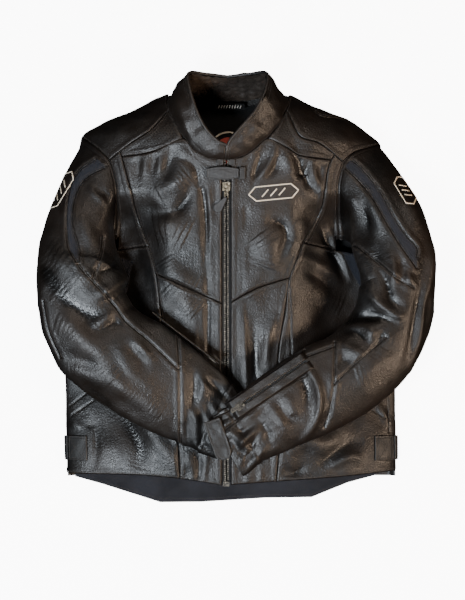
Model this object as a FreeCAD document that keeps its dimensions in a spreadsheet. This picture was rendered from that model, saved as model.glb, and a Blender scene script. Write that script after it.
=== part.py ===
"""Leather riding jacket, zipped, lying on its back with both forearms folded over the front.

Millimetres. +X is the wearer's left, +Y runs from hem to collar, +Z is up, away from the floor.
The origin is the centre of the footprint, on the floor. Flexible panels are curved shells of one
leather thickness; straps, tapes, sliders and other small pieces are bodies with sketches or primitives.
"""
import FreeCAD
import Part
import Sketcher
import math
import os
from FreeCAD import Placement, Rotation, Vector

DIMENSIONS = [
    # alias, value, meaning
    ("leather", 2.0, "thickness of a lined leather panel"),
    ("seam_gap", 1.2, "gap left between neighbouring panels"),
    ("torso_x", -10.0, "middle of the torso across the chest"),
    ("torso_base", 4.2, "height at which the front panels meet the back"),
    ("zip_x", -14.0, "main zip, across the chest"),
    ("zip_hem_y", -288.0, "lower end of the main zip"),
    ("zip_hem_z", 40.0, "height of the front at the hem"),
    ("zip_neck_y", 186.0, "upper end of the main zip"),
    ("zip_neck_z", 94.0, "height of the front at the neck"),
    ("placket", 9.0, "half width of the opening over the main zip"),
    ("elbow_z", 49.0, "underside of both elbows"),
    ("elbow_gap", 1.8, "clearance on each side of the elbow seam"),
    ("right_elbow_x", -214.0, "right elbow axis"),
    ("right_elbow_y", -38.0, "right elbow axis"),
    ("right_elbow_r", 73.0, "right elbow seam radius"),
    ("left_elbow_x", 222.0, "left elbow axis"),
    ("left_elbow_y", -45.0, "left elbow axis"),
    ("left_elbow_r", 64.0, "left elbow seam radius"),
    ("arm_clear", 9.5, "clearance under the forearms over the main zip"),
    ("neck_x", -12.0, "middle of the neck"),
    ("back_sheet", 2.2, "thickness of the back leather"),
    ("lining", 0.8, "thickness of the back lining"),
    ("tape_w", 14.0, "width of one zip tape"),
    ("tape_thick", 0.6, "thickness of a zip tape"),
    ("tooth_pitch", 3.0, "pitch of the main teeth"),
    ("tooth_len", 2.6, "tooth length across the chain"),
    ("tooth_w", 1.7, "tooth width along the chain"),
    ("tooth_high", 2.6, "tooth thickness"),
    ("post_gap", 0.9, "half gap between the two rows of teeth"),
    ("slider_len", 12.0, "slider length"),
    ("slider_w", 11.0, "slider width"),
    ("plate", 1.1, "slider plate thickness"),
    ("zip_travel", 395.0, "travel of the main slider"),
    ("fob_len", 25.0, "length of the rubber fob"),
    ("fob_w", 13.0, "width of the rubber fob"),
    ("fob_thick", 2.6, "thickness of the rubber fob"),
    ("neck_tab_len", 47.0, "neck tab length"),
    ("neck_tab_w", 19.0, "neck tab width"),
    ("neck_tab_thick", 2.4, "neck tab thickness"),
    ("waist_tab_w", 36.0, "waist strap width"),
    ("strap_thick", 2.6, "thickness of a hook and loop strap"),
    ("cuff_strap_len", 60.0, "cuff strap length"),
    ("cuff_strap_w", 25.0, "cuff strap width"),
    ("label_thick", 0.5, "thickness of the printed labels"),
    ("badge_thick", 0.7, "thickness of the badges"),
    ("chain_len", 471.0, "length of the main zip's chain"),
    ("slider_clear", 0.4, "clearance between teeth and slider plates"),
    ("pull_thick", 1.3, "thickness of a metal pull"),
    ("cuff_zip_len", 120.0, "length of a cuff zip"),
    ("cuff_travel", 84.0, "travel of a cuff slider"),
    ("armour_thick", 5.0, "thickness of the shoulder armour"),
    ("protector", 2.4, "thickness of the back protector"),
]

doc = FreeCAD.newDocument("riding_jacket")
sheet = doc.addObject("Spreadsheet::Sheet", "dims")
for row, (alias, value, meaning) in enumerate(DIMENSIONS, 1):
    sheet.set("A%d" % row, alias)
    sheet.set("B%d" % row, str(value))
    sheet.set("C%d" % row, meaning)
    sheet.setAlias("B%d" % row, alias)
doc.recompute()


def dim(alias):
    return float(sheet.get(alias))


LEATHER = dim("leather")
TORSO_X = dim("torso_x")
TORSO_BASE = dim("torso_base")
ZIP_X = dim("zip_x")
NECK_X = dim("neck_x")
ELBOW_Z = dim("elbow_z")
ZIP_SLOPE = (dim("zip_neck_z") - dim("zip_hem_z")) / (dim("zip_neck_y") - dim("zip_hem_y"))
ZIP_TILT = math.degrees(math.atan(ZIP_SLOPE))


# ---------------------------------------------------------------- curves
def smooth(x):
    """Smooth step from 0 to 1."""
    x = min(1.0, max(0.0, x))
    return x * x * (3 - 2 * x)


def along(stations, t):
    """Smooth value at t of a table of (t, value, ...) stations, by Catmull-Rom."""
    keys = [s[0] for s in stations]
    t = min(max(t, keys[0]), keys[-1])
    i = max(k for k in range(len(keys) - 1) if keys[k] <= t)
    f = (t - keys[i]) / (keys[i + 1] - keys[i])
    before, after = stations[max(i - 1, 0)], stations[min(i + 2, len(keys) - 1)]
    here, there = stations[i], stations[i + 1]
    step = there[0] - here[0]
    values = []
    for a, b, c, d in zip(before[1:], here[1:], there[1:], after[1:]):
        slope_b = (c - a) / (there[0] - before[0]) * step
        slope_c = (d - b) / (after[0] - here[0]) * step
        square = 3 * (c - b) - 2 * slope_b - slope_c
        cube = 2 * (b - c) + slope_b + slope_c
        values.append(b + f * (slope_b + f * (square + f * cube)))
    return values[0] if len(values) == 1 else values


def seam(points):
    """Function of 0..1 that follows plan points, by length."""
    keys = [0.0]
    for (x0, y0), (x1, y1) in zip(points, points[1:]):
        keys.append(keys[-1] + math.hypot(x1 - x0, y1 - y0))
    stations = [(k / keys[-1], x, y) for k, (x, y) in zip(keys, points)]
    return lambda t: along(stations, t)


# ---------------------------------------------------------------- torso surface
RIGHT_SIDE = [(-320, -249), (-270, -249), (-115, -252), (0, -246), (60, -238), (222, -229),
              (243, -198), (258, -160), (270, -136), (281, -118), (288, -101), (300, -84)]
LEFT_SIDE = [(-320, 236), (-268, 236), (-147, 235), (0, 230), (60, 224), (211, 214), (230, 194), (245, 172),
             (257, 146), (270, 112), (281, 92), (288, 78), (300, 60)]
SHOULDER_DROP = [(-320, 1.0), (188, 1.0), (225, 0.95), (262, 0.72), (286, 0.42), (300, 0.30)]


def side_x(side, y):
    return along(RIGHT_SIDE if side < 0 else LEFT_SIDE, y)


def centre_height(y):
    """Height of the front over the zip: one straight line, so that the slider can run."""
    return dim("zip_hem_z") + ZIP_SLOPE * (y - dim("zip_hem_y"))


def torso_height(x, y):
    """Height of the front panels. The arms press the sides down between hem and armpit."""
    side = -1 if x < TORSO_X else 1
    a = min(1.0, abs((x - TORSO_X) / (side_x(side, y) - TORSO_X)))
    dome = math.sqrt(max(0.0, 1 - a ** 2.6))
    pressed = 0.40 + 0.60 * smooth((0.72 - a) / 0.36)
    share = smooth((145 - y) / 60) * smooth((y + 260) / 110)
    high = (centre_height(y) - TORSO_BASE) * along(SHOULDER_DROP, y)
    return TORSO_BASE + high * dome * (1 + share * (pressed - 1))


def to_angle(x, y):
    """Plan point to the angle over the torso, -90 at the right side seam and 90 at the left one."""
    side = -1 if x < TORSO_X else 1
    a = min(1.0, abs((x - TORSO_X) / (side_x(side, y) - TORSO_X)))
    return side * math.degrees(math.asin(a))


def side_point(side, y, angle=89.0):
    """Plan point on the torso's side edge."""
    return TORSO_X + math.sin(math.radians(angle)) * (side_x(side, y) - TORSO_X), y


def torso_point(angle, y):
    side = -1 if angle < 0 else 1
    x = TORSO_X + abs(math.sin(math.radians(angle))) * (side_x(side, y) - TORSO_X)
    return Vector(x, y, torso_height(x, y))


# ---------------------------------------------------------------- panels
def normal(surface, s, t):
    step = 0.004
    across = surface(min(1, s + step), t) - surface(max(0, s - step), t)
    up = surface(s, min(1, t + step)) - surface(s, max(0, t - step))
    return across.cross(up).normalize()


def panel_shape(surface, rows, columns, thick, lift=0.0, gap=0.0, facing=None):
    """Closed shell between a surface of (s, t) and its offset along facing, by default the normal.

    gap is the space left to each neighbour."""
    trim_s = gap / 2 / (surface(1, 0.5) - surface(0, 0.5)).Length
    trim_t = gap / 2 / (surface(0.5, 1) - surface(0.5, 0)).Length
    outer, inner = [], []
    for i in range(rows + 1):
        s = trim_s + (1 - 2 * trim_s) * i / rows
        outer.append([])
        inner.append([])
        for j in range(columns + 1):
            t = trim_t + (1 - 2 * trim_t) * j / columns
            point, n = surface(s, t), facing(s, t) if facing else normal(surface, s, t)
            outer[-1].append(point + n * lift)
            inner[-1].append(point + n * (lift - thick))
    skins = []
    for grid in (outer, inner):
        skin = Part.BSplineSurface()
        skin.interpolate(grid)
        skins.append(skin)
    faces = [skin.toShape() for skin in skins]
    u0, u1, v0, v1 = skins[0].bounds()
    for end in (u0, u1):
        faces.append(Part.makeRuledSurface(*[skin.uIso(end).toShape() for skin in skins]))
    for end in (v0, v1):
        faces.append(Part.makeRuledSurface(*[skin.vIso(end).toShape() for skin in skins]))
    solid = Part.Solid(Part.Shell(faces))
    if solid.Volume < 0:
        solid.reverse()
    return solid


nodes = {}


def keep(feature, label):
    """Registers a document object as the sub-part called label."""
    feature.Label = label
    nodes[label] = feature
    return feature


def free_form(label, shapes):
    shapes = shapes if isinstance(shapes, list) else [shapes]
    feature = doc.addObject("Part::Feature", label)
    feature.Shape = shapes[0] if len(shapes) == 1 else Part.makeCompound(shapes)
    return keep(feature, label)


def side_edge(side, low, high, angle=89.0):
    """Edge of the torso beside the back, from y = low to y = high."""
    return lambda t: (side * angle, low + (high - low) * t)


def shoulder_edge(side, start, end, angle=88.0):
    """Shoulder line: leaves a seam end, follows the torso's edge and returns to the other seam end."""
    first, last = (to_angle(*start), start[1]), (to_angle(*end), end[1])

    def edge(t):
        share = smooth(t / 0.25) * smooth((1 - t) / 0.25)
        straight = first[0] + (last[0] - first[0]) * t
        return straight + (side * angle - straight) * share, first[1] + (last[1] - first[1]) * t
    return edge


def torso_surface(left, right, bottom, top):
    """Four-sided surface on the torso between seams given in plan, or as functions of 0..1.
    left and right run upwards, bottom and top run from left to right."""
    edges = []
    for points in (left, right, bottom, top):
        if callable(points):
            edges.append(points)
        else:
            curve = seam(points)
            edges.append(lambda t, curve=curve: (to_angle(*curve(t)), curve(t)[1]))
    low, high, base, crest = edges

    def surface(s, t):
        corners = [(low(0), (1 - s) * (1 - t)), (high(0), s * (1 - t)),
                   (low(1), (1 - s) * t), (high(1), s * t)]
        both = []
        for k in (0, 1):
            ruled = (1 - s) * low(t)[k] + s * high(t)[k] + (1 - t) * base(s)[k] + t * crest(s)[k]
            both.append(ruled - sum(corner[k] * share for corner, share in corners))
        return torso_point(max(-90.0, min(90.0, both[0])), both[1])

    return surface


def torso_panel(label, left, right, bottom, top, rows=9, columns=11, gap=dim("seam_gap")):
    surface = torso_surface(left, right, bottom, top)
    free_form(label, panel_shape(surface, rows, columns, LEATHER, gap=gap))


# ---------------------------------------------------------------- torso front
PLACKET_RIGHT, PLACKET_LEFT = ZIP_X - dim("placket"), ZIP_X + dim("placket")
RIGHT_WAIST, RIGHT_APEX, RIGHT_TOP, RIGHT_TIP = (-110, -28), (-116, 21), (-165, 190), (-168, 198)
LEFT_WAIST, LEFT_APEX, LEFT_TOP, LEFT_TIP = (72, -24), (77, 15), (137, 185), (143, 193)
CHEVRON_RIGHT, CHEVRON_LEFT = (PLACKET_RIGHT, -22), (PLACKET_LEFT, -20)
NECK_RIGHT, NECK_LEFT = (PLACKET_RIGHT, 184), (PLACKET_LEFT, 186)
COLLAR_RIGHT, COLLAR_LEFT = (-76, 215), (46, 215)
YOKE_RIGHT, YOKE_LEFT = (-97, 259), (73, 258)
HEM_RIGHT, HEM_LEFT = (-82, -278), (59, -282)
PIT_RIGHT, PIT_LEFT = (-174, 56), (147, 56)
STRIP_RIGHT, STRIP_LEFT = (-128, 62), (98, 66)

right_princess_low = [HEM_RIGHT, (-85, -225), (-102, -100), RIGHT_WAIST, RIGHT_APEX]
right_princess_high = [RIGHT_APEX, STRIP_RIGHT]
right_princess_top = [STRIP_RIGHT, (-141, 97), (-152, 142), (-159, 168), RIGHT_TOP]
left_princess_low = [HEM_LEFT, (62, -235), (61, -102), LEFT_WAIST, LEFT_APEX]
left_princess_high = [LEFT_APEX, STRIP_LEFT]
left_princess_top = [STRIP_LEFT, (122, 111), (128, 140), (132, 170), LEFT_TOP]

torso_panel("front_chest_right", right_princess_high[:1] + right_princess_top,
            [CHEVRON_RIGHT, (PLACKET_RIGHT, 80), NECK_RIGHT],
            [RIGHT_APEX, (-77, 4), CHEVRON_RIGHT],
            [RIGHT_TOP, (-122, 196), COLLAR_RIGHT, (-60, 199), (-42, 189), NECK_RIGHT],
            rows=13, columns=13)
torso_panel("front_chest_left", [CHEVRON_LEFT, (PLACKET_LEFT, 80), NECK_LEFT],
            left_princess_high[:1] + left_princess_top,
            [CHEVRON_LEFT, (30, 0), LEFT_APEX],
            [NECK_LEFT, (9, 189), (28, 201), COLLAR_LEFT, (75, 201), (92, 191), LEFT_TOP],
            rows=13, columns=13)
torso_panel("front_lower_right", right_princess_low,
            [(PLACKET_RIGHT, -288), (PLACKET_RIGHT, -150), CHEVRON_RIGHT],
            [HEM_RIGHT, (-42, -284), (PLACKET_RIGHT, -288)], [RIGHT_APEX, (-77, 4), CHEVRON_RIGHT])
torso_panel("front_lower_left", [(PLACKET_LEFT, -287), (PLACKET_LEFT, -150), CHEVRON_LEFT],
            left_princess_low,
            [(PLACKET_LEFT, -287), HEM_LEFT], [CHEVRON_LEFT, (30, 0), LEFT_APEX])
SIDE_TOP_RIGHT, SIDE_TOP_LEFT = side_point(-1, 44), side_point(1, 44)
torso_panel("side_panel_right", side_edge(-1, -272, 44),
            right_princess_low + right_princess_high[1:],
            [side_point(-1, -272), (-142, -273), HEM_RIGHT], [SIDE_TOP_RIGHT, PIT_RIGHT, STRIP_RIGHT],
            rows=13, columns=13)
torso_panel("side_panel_left", left_princess_low + left_princess_high[1:],
            side_edge(1, -268, 44),
            [HEM_LEFT, (149, -276), side_point(1, -268)], [STRIP_LEFT, PIT_LEFT, SIDE_TOP_LEFT],
            rows=13, columns=13)
torso_panel("armhole_strip_right", [PIT_RIGHT, (-171, 112), (-174, 156), (-183, 186)],
            right_princess_top + [RIGHT_TIP],
            [PIT_RIGHT, STRIP_RIGHT], [(-183, 186), RIGHT_TIP], rows=6)
torso_panel("armhole_strip_left", left_princess_top + [LEFT_TIP],
            [PIT_LEFT, (147, 111), (146, 150), (154, 183)],
            [STRIP_LEFT, PIT_LEFT], [LEFT_TIP, (154, 183)], rows=6)
torso_panel("perforated_panel_right", [RIGHT_TOP, RIGHT_TIP], [COLLAR_RIGHT, (-87, 239), YOKE_RIGHT],
            [RIGHT_TOP, (-122, 196), COLLAR_RIGHT],
            [RIGHT_TIP, (-152, 209), (-122, 229), YOKE_RIGHT], gap=3.6)
torso_panel("perforated_panel_left", [COLLAR_LEFT, (62, 237), YOKE_LEFT], [(137, 187.5), LEFT_TIP],
            [COLLAR_LEFT, (75, 202), (92, 192.5), (137, 187.5)],
            [YOKE_LEFT, (92, 218), (120, 208), LEFT_TIP], gap=4.4)
TIP_RIGHT, TIP_LEFT = (-222, 219), (208, 210)
torso_panel("shoulder_yoke_right", [(-183, 186), (-200, 202), TIP_RIGHT],
            [YOKE_RIGHT, (-100, 272), (-99, 286)],
            [(-183, 186), (-152, 209), (-122, 229), YOKE_RIGHT],
            shoulder_edge(-1, TIP_RIGHT, (-99, 286)))
torso_panel("shoulder_yoke_left", [YOKE_LEFT, (76, 270), (78, 285)],
            [(154, 183), (171, 197), TIP_LEFT],
            [YOKE_LEFT, (92, 219), (120, 209), (154, 183)],
            shoulder_edge(1, (78, 285), TIP_LEFT))


# ---------------------------------------------------------------- back
def plate_shape(outline, low, thick):
    """Flat panel between runs of plan points: a run of two is straight, a longer one is a spline."""
    edges = []
    for run in outline:
        points = [Vector(x, y, low) for x, y in run]
        if len(points) == 2:
            edges.append(Part.makeLine(*points))
        else:
            curve = Part.BSplineCurve()
            curve.interpolate(points)
            edges.append(curve.toShape())
    return Part.Face(Part.Wire(edges)).extrude(Vector(0, 0, thick))


def plate(label, outline, low, thick):
    return free_form(label, plate_shape(outline, low, thick))


BACK = dim("back_sheet")
GAP = dim("seam_gap")
BACK_SEAM_RIGHT = [(-118, 141), (-103, 0), (-99, -272)]
BACK_SEAM_LEFT = [(104, 141), (85, 0), (79, -270)]


def shifted(points, dx, dy=0.0):
    return [(x + dx, y + dy) for x, y in points]


plate("back_yoke", [[(-222, 150), (-226, 190), (-226, 218)],
                    [(-226, 218), (-160, 254), (-116, 278), (-98, 284)],
                    [(-98, 284), (NECK_X, 276), (75, 284)],
                    [(75, 284), (90, 278), (144, 254), (210, 209)],
                    [(210, 209), (212, 180), (208, 150)],
                    [(208, 150), (104, 141)], [(104, 141), (-118, 141)],
                    [(-118, 141), (-222, 150)]], 0, BACK)
right_seam, left_seam = shifted(BACK_SEAM_RIGHT, 0, -GAP), shifted(BACK_SEAM_LEFT, 0, -GAP)
plate("back_centre", [[right_seam[0], left_seam[0]], left_seam,
                      [left_seam[-1], right_seam[-1]], right_seam[::-1]], 0, BACK)
outer_right = shifted(right_seam, -GAP)
outer_left = shifted(left_seam, GAP)
side_outlines = [
    [[(-222, 149 - GAP), outer_right[0]], outer_right, [outer_right[-1], (-242, -272 - GAP)],
     [(-242, -272 - GAP), (-242, -60), (-238, 40), (-226, 90), (-222, 149 - GAP)]],
    [[(208, 149 - GAP), outer_left[0]], outer_left, [outer_left[-1], (228, -269 - GAP)],
     [(228, -269 - GAP), (227, -60), (222, 40), (212, 90), (208, 149 - GAP)]]]
free_form("back_sides", [plate_shape(outline, 0, BACK) for outline in side_outlines])
plate("drop_tail", [[(-240, -274 - GAP), (210, -272 - GAP)],
                    [(210, -272 - GAP), (165, -286), (112, -309)],
                    [(112, -309), (43, -310), (-52, -316), (-112, -317.5)],
                    [(-112, -317.5), (-197, -288), (-240, -274 - GAP)]], 0, BACK)
LAYER_GAP = 0.3
plate("back_lining", [[(-216, 150), (-216, 205), (-150, 250), (-92, 274)],
                      [(-92, 274), (NECK_X, 270), (68, 274)],
                      [(68, 274), (130, 250), (198, 200), (200, 150)],
                      [(200, 150), (214, 20), (222, -262)],
                      [(222, -262), (-234, -262)],
                      [(-234, -262), (-230, 20), (-216, 150)]], BACK + LAYER_GAP, dim("lining"))
plate("back_protector", [[(-70, 110), (46, 110)], [(46, 110), (40, -140)],
                         [(40, -140), (-64, -140)], [(-64, -140), (-70, 110)]],
      BACK + dim("lining") + 2 * LAYER_GAP, dim("protector"))


# ---------------------------------------------------------------- collar
COLLAR_BASE = [  # angle from the zip, round by the wearer's left: x half, y, z
    (0, 0, 185, 93), (32, 40, 201, 88), (60, 74, 236, 74), (84, 88, 270, 52), (112, 74, 283, 26),
    (150, 40, 281, 12), (180, 0, 279, 9)]
COLLAR_RIM = [
    (0, 0, 207, 108), (32, 22, 225, 112), (60, 42, 252, 112), (84, 55, 283, 106), (112, 57, 309, 92),
    (150, 30, 310, 74), (180, 0, 307, 68)]
COLLAR_OPEN = 7.0
COLLAR_MIDDLE_Y = 262


def collar_point(turn, t):
    """turn is degrees round the neck from the zip, t runs from the neck seam to the rim."""
    base, rim = along(COLLAR_BASE, abs(turn)), along(COLLAR_RIM, abs(turn))
    side = 1 if turn > 0 else -1
    low = Vector(NECK_X + side * base[0], base[1], base[2])
    high = Vector(NECK_X + side * rim[0], rim[1], rim[2])
    point = low + (high - low) * t
    out = Vector(point.x - NECK_X, point.y - COLLAR_MIDDLE_Y, 0)
    bulge = 4.0 * math.sin(math.pi * t)
    return point + out.normalize() * bulge + Vector(0, 0, bulge * 0.6)


def collar_surface(start, end, low=0.0, high=1.0):
    def surface(s, t):
        return collar_point(start + (end - start) * s, low + (high - low) * t)
    return surface


LINING_LEATHER = 0.9
OUTER_ARCS = ((-180, -90.4), (-89.6, -COLLAR_OPEN), (COLLAR_OPEN, 89.6), (90.4, 180))
BINDING_ARCS = ((-180, -60), (-60, -COLLAR_OPEN), (COLLAR_OPEN, 60), (60, 180))
free_form("collar_outer", [
    panel_shape(collar_surface(a, b), 11, 6, LEATHER, gap=0.4) for a, b in OUTER_ARCS])
free_form("collar_lining", [
    panel_shape(collar_surface(a, b, 0.05, 0.92), 11, 6, LINING_LEATHER, lift=-LEATHER - 1.4, gap=1.0)
    for a, b in OUTER_ARCS])


def binding_surface(start, end):
    """Rolled edge round the collar's rim."""
    radius = 2.4

    def surface(s, t):
        turn = start + (end - start) * s
        rim = collar_point(turn, 1.0)
        up = (rim - collar_point(turn, 0.85)).normalize()
        n = normal(collar_surface(start, end), s, 0.98)
        angle = math.pi * t
        middle = rim + up * 0.5 - n * (LEATHER / 2)
        return middle + n * (radius * math.cos(angle)) + up * (radius * math.sin(angle))
    return surface


BINDING_THICK = 1.6
free_form("collar_binding", [
    panel_shape(binding_surface(a, b), 14, 6, BINDING_THICK, gap=0.4) for a, b in BINDING_ARCS])


# ---------------------------------------------------------------- sleeves
SLEEVES = {
    "right": {
        "sign": -1,
        "upper": [  # u, outer x y, inner x y, underside, top
            (0.0, -228, 222, -177, 64, 8, 66), (0.25, -252, 166, -170, 50, 10, 82),
            (0.5, -277, 96, -163, 34, 22, 96), (0.75, -288, 32, -158, 20, 40, 104),
            (1.0, -286, -25, -159, 11, 49, 108)],
        "arc": (170, 42),
        "fore": [
            (0.0, -286, -25, -159, 11, 49, 108), (0.14, -273, -77, -156, -12, 49, 112),
            (0.3, -250, -119, -140, -32, 49, 112), (0.48, -203, -161, -106, -52, 52, 110),
            (0.66, -151, -191, -70, -79, 58, 106), (0.82, -100, -216, -36, -108, 62, 98),
            (0.93, -58, -233, -8, -138, 64, 92), (1.0, -28, -244, 8, -160, 65, 88)],
    },
    "left": {
        "sign": 1,
        "upper": [
            (0.0, 213, 211, 149, 66, 8, 66), (0.25, 244, 164, 166, 64, 10, 84),
            (0.5, 273, 108, 173, 50, 22, 96), (0.75, 287, 40, 178, 26, 40, 104),
            (1.0, 285, -34, 181, 4, 49, 108)],
        "arc": (10, 130),
        "fore": [
            (0.0, 285, -34, 181, 4, 49, 108), (0.14, 272, -81, 168, -32, 49, 114),
            (0.3, 245, -127, 138, -66, 56, 118), (0.48, 196, -172, 100, -84, 66, 122),
            (0.66, 136, -205, 60, -108, 78, 122), (0.82, 78, -230, 20, -138, 90, 121),
            (0.93, 38, -247, -14, -170, 96, 119), (1.0, 10, -266, -38, -186, 97, 117)],
    },
}


def arm_floor(x, y, side):
    """Lowest height a sleeve may have over the torso, the zip and, for the left sleeve, the other cuff."""
    near_zip = smooth(1 - abs(x + 26) / 75)
    floor = 3.0 + (torso_height(x, y) - 3.0) * smooth((90 - y) / 34) + 3.2 + dim("arm_clear") * near_zip
    if side == "left":
        floor = max(floor, 96 * smooth((24 - x) / 40) * smooth((-100 - y) / 40))
    return floor


def elbow(side):
    """Axis and seam radius of an elbow."""
    return dim(side + "_elbow_x"), dim(side + "_elbow_y"), dim(side + "_elbow_r")


ARMHOLES = {
    "right": seam([(-182, 71), (-178, 96), (-174, 134), (-176, 156), (-186, 186), (-203, 203),
                   (-224, 218)]),
    "left": seam([(154, 71), (151, 97), (149, 130), (149, 154), (158, 182), (174, 197),
                  (210, 209)]),
}


def armhole_point(side, turn):
    """Point on the armhole: over the front for turns to 180, flat under the arm after that."""
    share = (1 + math.cos(math.radians(turn))) / 2
    lift = math.sin(math.radians(turn))
    x, y = ARMHOLES[side](share)
    if lift >= 0:
        return Vector(x, y, torso_height(x, y) + 2.2 - 1.4 * smooth(lift / 0.5))
    ends = [torso_height(*ARMHOLES[side](end)) + 2.2 for end in (0.0, 1.0)]
    level = ends[0] + (ends[1] - ends[0]) * share
    return Vector(x, y, level + (level - 5.6) * lift)


def station_point(side, part, u, turn):
    """Point on the sleeve before its ends are fitted to the armhole and the elbow seam."""
    ox, oy, ix, iy, low, top = along(SLEEVES[side][part], u)
    share = (1 + math.cos(math.radians(turn))) / 2
    x, y = ix + (ox - ix) * share, iy + (oy - iy) * share
    low = max(low, arm_floor(x, y, side))
    middle, half = (low + top) / 2, max(5.0, (top - low) / 2)
    return Vector(x, y, middle + half * math.sin(math.radians(turn)))


def elbow_point(side, part, turn):
    """Plan point on the round elbow seam: the upper sleeve ends outside it, the forearm inside it."""
    share = (1 + math.cos(math.radians(turn))) / 2
    cx, cy, radius = elbow(side)
    radius += dim("elbow_gap") * (1 if part == "upper" else -1)
    outer, inner = SLEEVES[side]["arc"]
    arc = math.radians(inner + (outer - inner) * share)
    return Vector(cx + radius * math.cos(arc), cy + radius * math.sin(arc), 0)


def sleeve_point(side, part, u, turn):
    """turn: 0 on the outer edge, 90 on top, 180 on the inner edge, 270 underneath."""
    point = station_point(side, part, u, turn)
    end = station_point(side, part, 1.0 if part == "upper" else 0.0, turn)
    move = elbow_point(side, part, turn) - end
    move.z = 0
    if part == "upper":
        point += move * smooth((u - 0.45) / 0.55)
        head = armhole_point(side, turn) - station_point(side, part, 0.0, turn)
        point += head * (1 - smooth(u / 0.55))
        if turn > 180:
            floor = arm_floor(point.x, point.y, side) - 1.0
            point.z = (point.z + floor + math.sqrt((point.z - floor) ** 2 + 6.0)) / 2
        return point
    return point + move * (1 - smooth(u / 0.30))


def sleeve_facing(side, part, u, turn):
    """Outward direction of the sleeve's oval section."""
    ox, oy, ix, iy, low, top = along(SLEEVES[side][part], u)
    across = Vector(ox - ix, oy - iy, 0)
    lift, out = math.sin(math.radians(turn)), math.cos(math.radians(turn))
    n = across * (2 * out / across.Length ** 2) + Vector(0, 0, 2 * lift / (top - low))
    return n.normalize()


def on_sleeve(function, side, part, u0, u1, turn0, turn1):
    """Turns a function of (side, part, u, turn) into one of (s, t) over part of a sleeve."""
    def over_patch(s, t):
        t = t if side == "right" else 1 - t
        return function(side, part, u0 + (u1 - u0) * s, turn0 + (turn1 - turn0) * t)
    return over_patch


def sleeve_panel(side, part, u0, u1, turn0, turn1, thick, rows=14, columns=8, lift=0.0):
    patch = (side, part, u0, u1, turn0, turn1)
    facing = on_sleeve(sleeve_facing, *patch)
    return panel_shape(on_sleeve(sleeve_point, *patch), rows, columns, thick, lift=lift, facing=facing)


SLEEVE_PANELS = [  # label, part, u from, u to, turn from, turn to
    ("sleeve_outer", "upper", 0.0, 1.0, 1.2, 79),
    ("sleeve_inner", "upper", 0.0, 1.0, 80.2, 178.8),
    ("sleeve_under", "upper", 0.0, 1.0, 182, 358),
    ("elbow_panel", "fore", 0.0, 0.50, 1, 179),
    ("forearm_top", "fore", 0.505, 0.925, 1, 179),
    ("forearm_under", "fore", 0.0, 0.925, 181, 359),
]
CUFF_FROM = 0.932
for side in SLEEVES:
    for label, part, u0, u1, turn0, turn1 in SLEEVE_PANELS:
        free_form(label + "_" + side, sleeve_panel(side, part, u0, u1, turn0, turn1, LEATHER))
    free_form("cuff_band_" + side, [
        sleeve_panel(side, "fore", CUFF_FROM, 1.0, start, start + 178, LEATHER * 1.2, rows=3)
        for start in (1, 181)])


# ---------------------------------------------------------------- sketches
def add_body(label):
    body = doc.addObject("PartDesign::Body", label)
    return keep(body, label)


def plane(body, role):
    return next(f for f in body.Origin.OriginFeatures if f.Role == role)


def add_sketch(body, name, role="XY_Plane"):
    sketch = body.newObject("Sketcher::SketchObject", name)
    sketch.AttachmentSupport = [(plane(body, role), "")]
    sketch.MapMode = "FlatFace"
    return sketch


def rectangle(sketch, x, y, width, height):
    """Rectangle whose width and height follow two expressions, with its lower left corner at x, y."""
    right, crest = x + width[0], y + height[0]
    corners = [Vector(x, y, 0), Vector(right, y, 0), Vector(right, crest, 0), Vector(x, crest, 0)]
    first = sketch.GeometryCount
    for a, b in zip(corners, corners[1:] + corners[:1]):
        sketch.addGeometry(Part.LineSegment(a, b), False)
    for k in range(4):
        sketch.addConstraint(Sketcher.Constraint("Coincident", first + k, 2, first + (k + 1) % 4, 1))
    for k, kind in enumerate(("Horizontal", "Vertical", "Horizontal", "Vertical")):
        sketch.addConstraint(Sketcher.Constraint(kind, first + k))
    for kind, value in (("DistanceX", x), ("DistanceY", y)):
        sketch.addConstraint(Sketcher.Constraint(kind, -1, 1, first, 1, value))
    wide = sketch.addConstraint(Sketcher.Constraint("DistanceX", first, 1, first, 2, width[0]))
    high = sketch.addConstraint(Sketcher.Constraint("DistanceY", first + 1, 1, first + 1, 2, height[0]))
    sketch.setExpression("Constraints[%d]" % wide, width[1])
    sketch.setExpression("Constraints[%d]" % high, height[1])


def pad(body, sketch, expression, offset=None):
    feature = body.newObject("PartDesign::Pad", body.Label + "_pad")
    feature.Profile = sketch
    feature.setExpression("Length", expression)
    if offset is not None:
        sketch.AttachmentOffset = Placement(Vector(0, 0, offset), Rotation())
    return feature


def strap_body(label, length, width, thick, rounded=True):
    """Strap from the origin along +X, centred on X, on z = 0. length, width and thick are sheet aliases."""
    body = add_body(label)
    sketch = add_sketch(body, label + "_outline")
    long, half = dim(length), dim(width) / 2
    if rounded:
        ends = ((0, -half), (long - half, -half), (long - half, half), (0, half))
        points = [Vector(x, y, 0) for x, y in ends]
        sketch.addGeometry(Part.LineSegment(points[0], points[1]), False)
        sketch.addGeometry(Part.Arc(points[1], Vector(long, 0, 0), points[2]), False)
        sketch.addGeometry(Part.LineSegment(points[2], points[3]), False)
        sketch.addGeometry(Part.LineSegment(points[3], points[0]), False)
        for k in range(4):
            sketch.addConstraint(Sketcher.Constraint("Coincident", k, 2, (k + 1) % 4, 1))
    else:
        rectangle(sketch, 0, -half, (long, "dims." + length), (2 * half, "dims." + width))
    pad(body, sketch, "dims." + thick)
    return body


def place(feature, x, y, z, *turns):
    """Placement from turns (axis, degrees) applied in order, then a move."""
    rotation = Rotation()
    for axis, degrees in turns:
        rotation = Rotation(axis, degrees).multiply(rotation)
    feature.Placement = Placement(Vector(x, y, z), rotation)
    return feature.Placement


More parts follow.
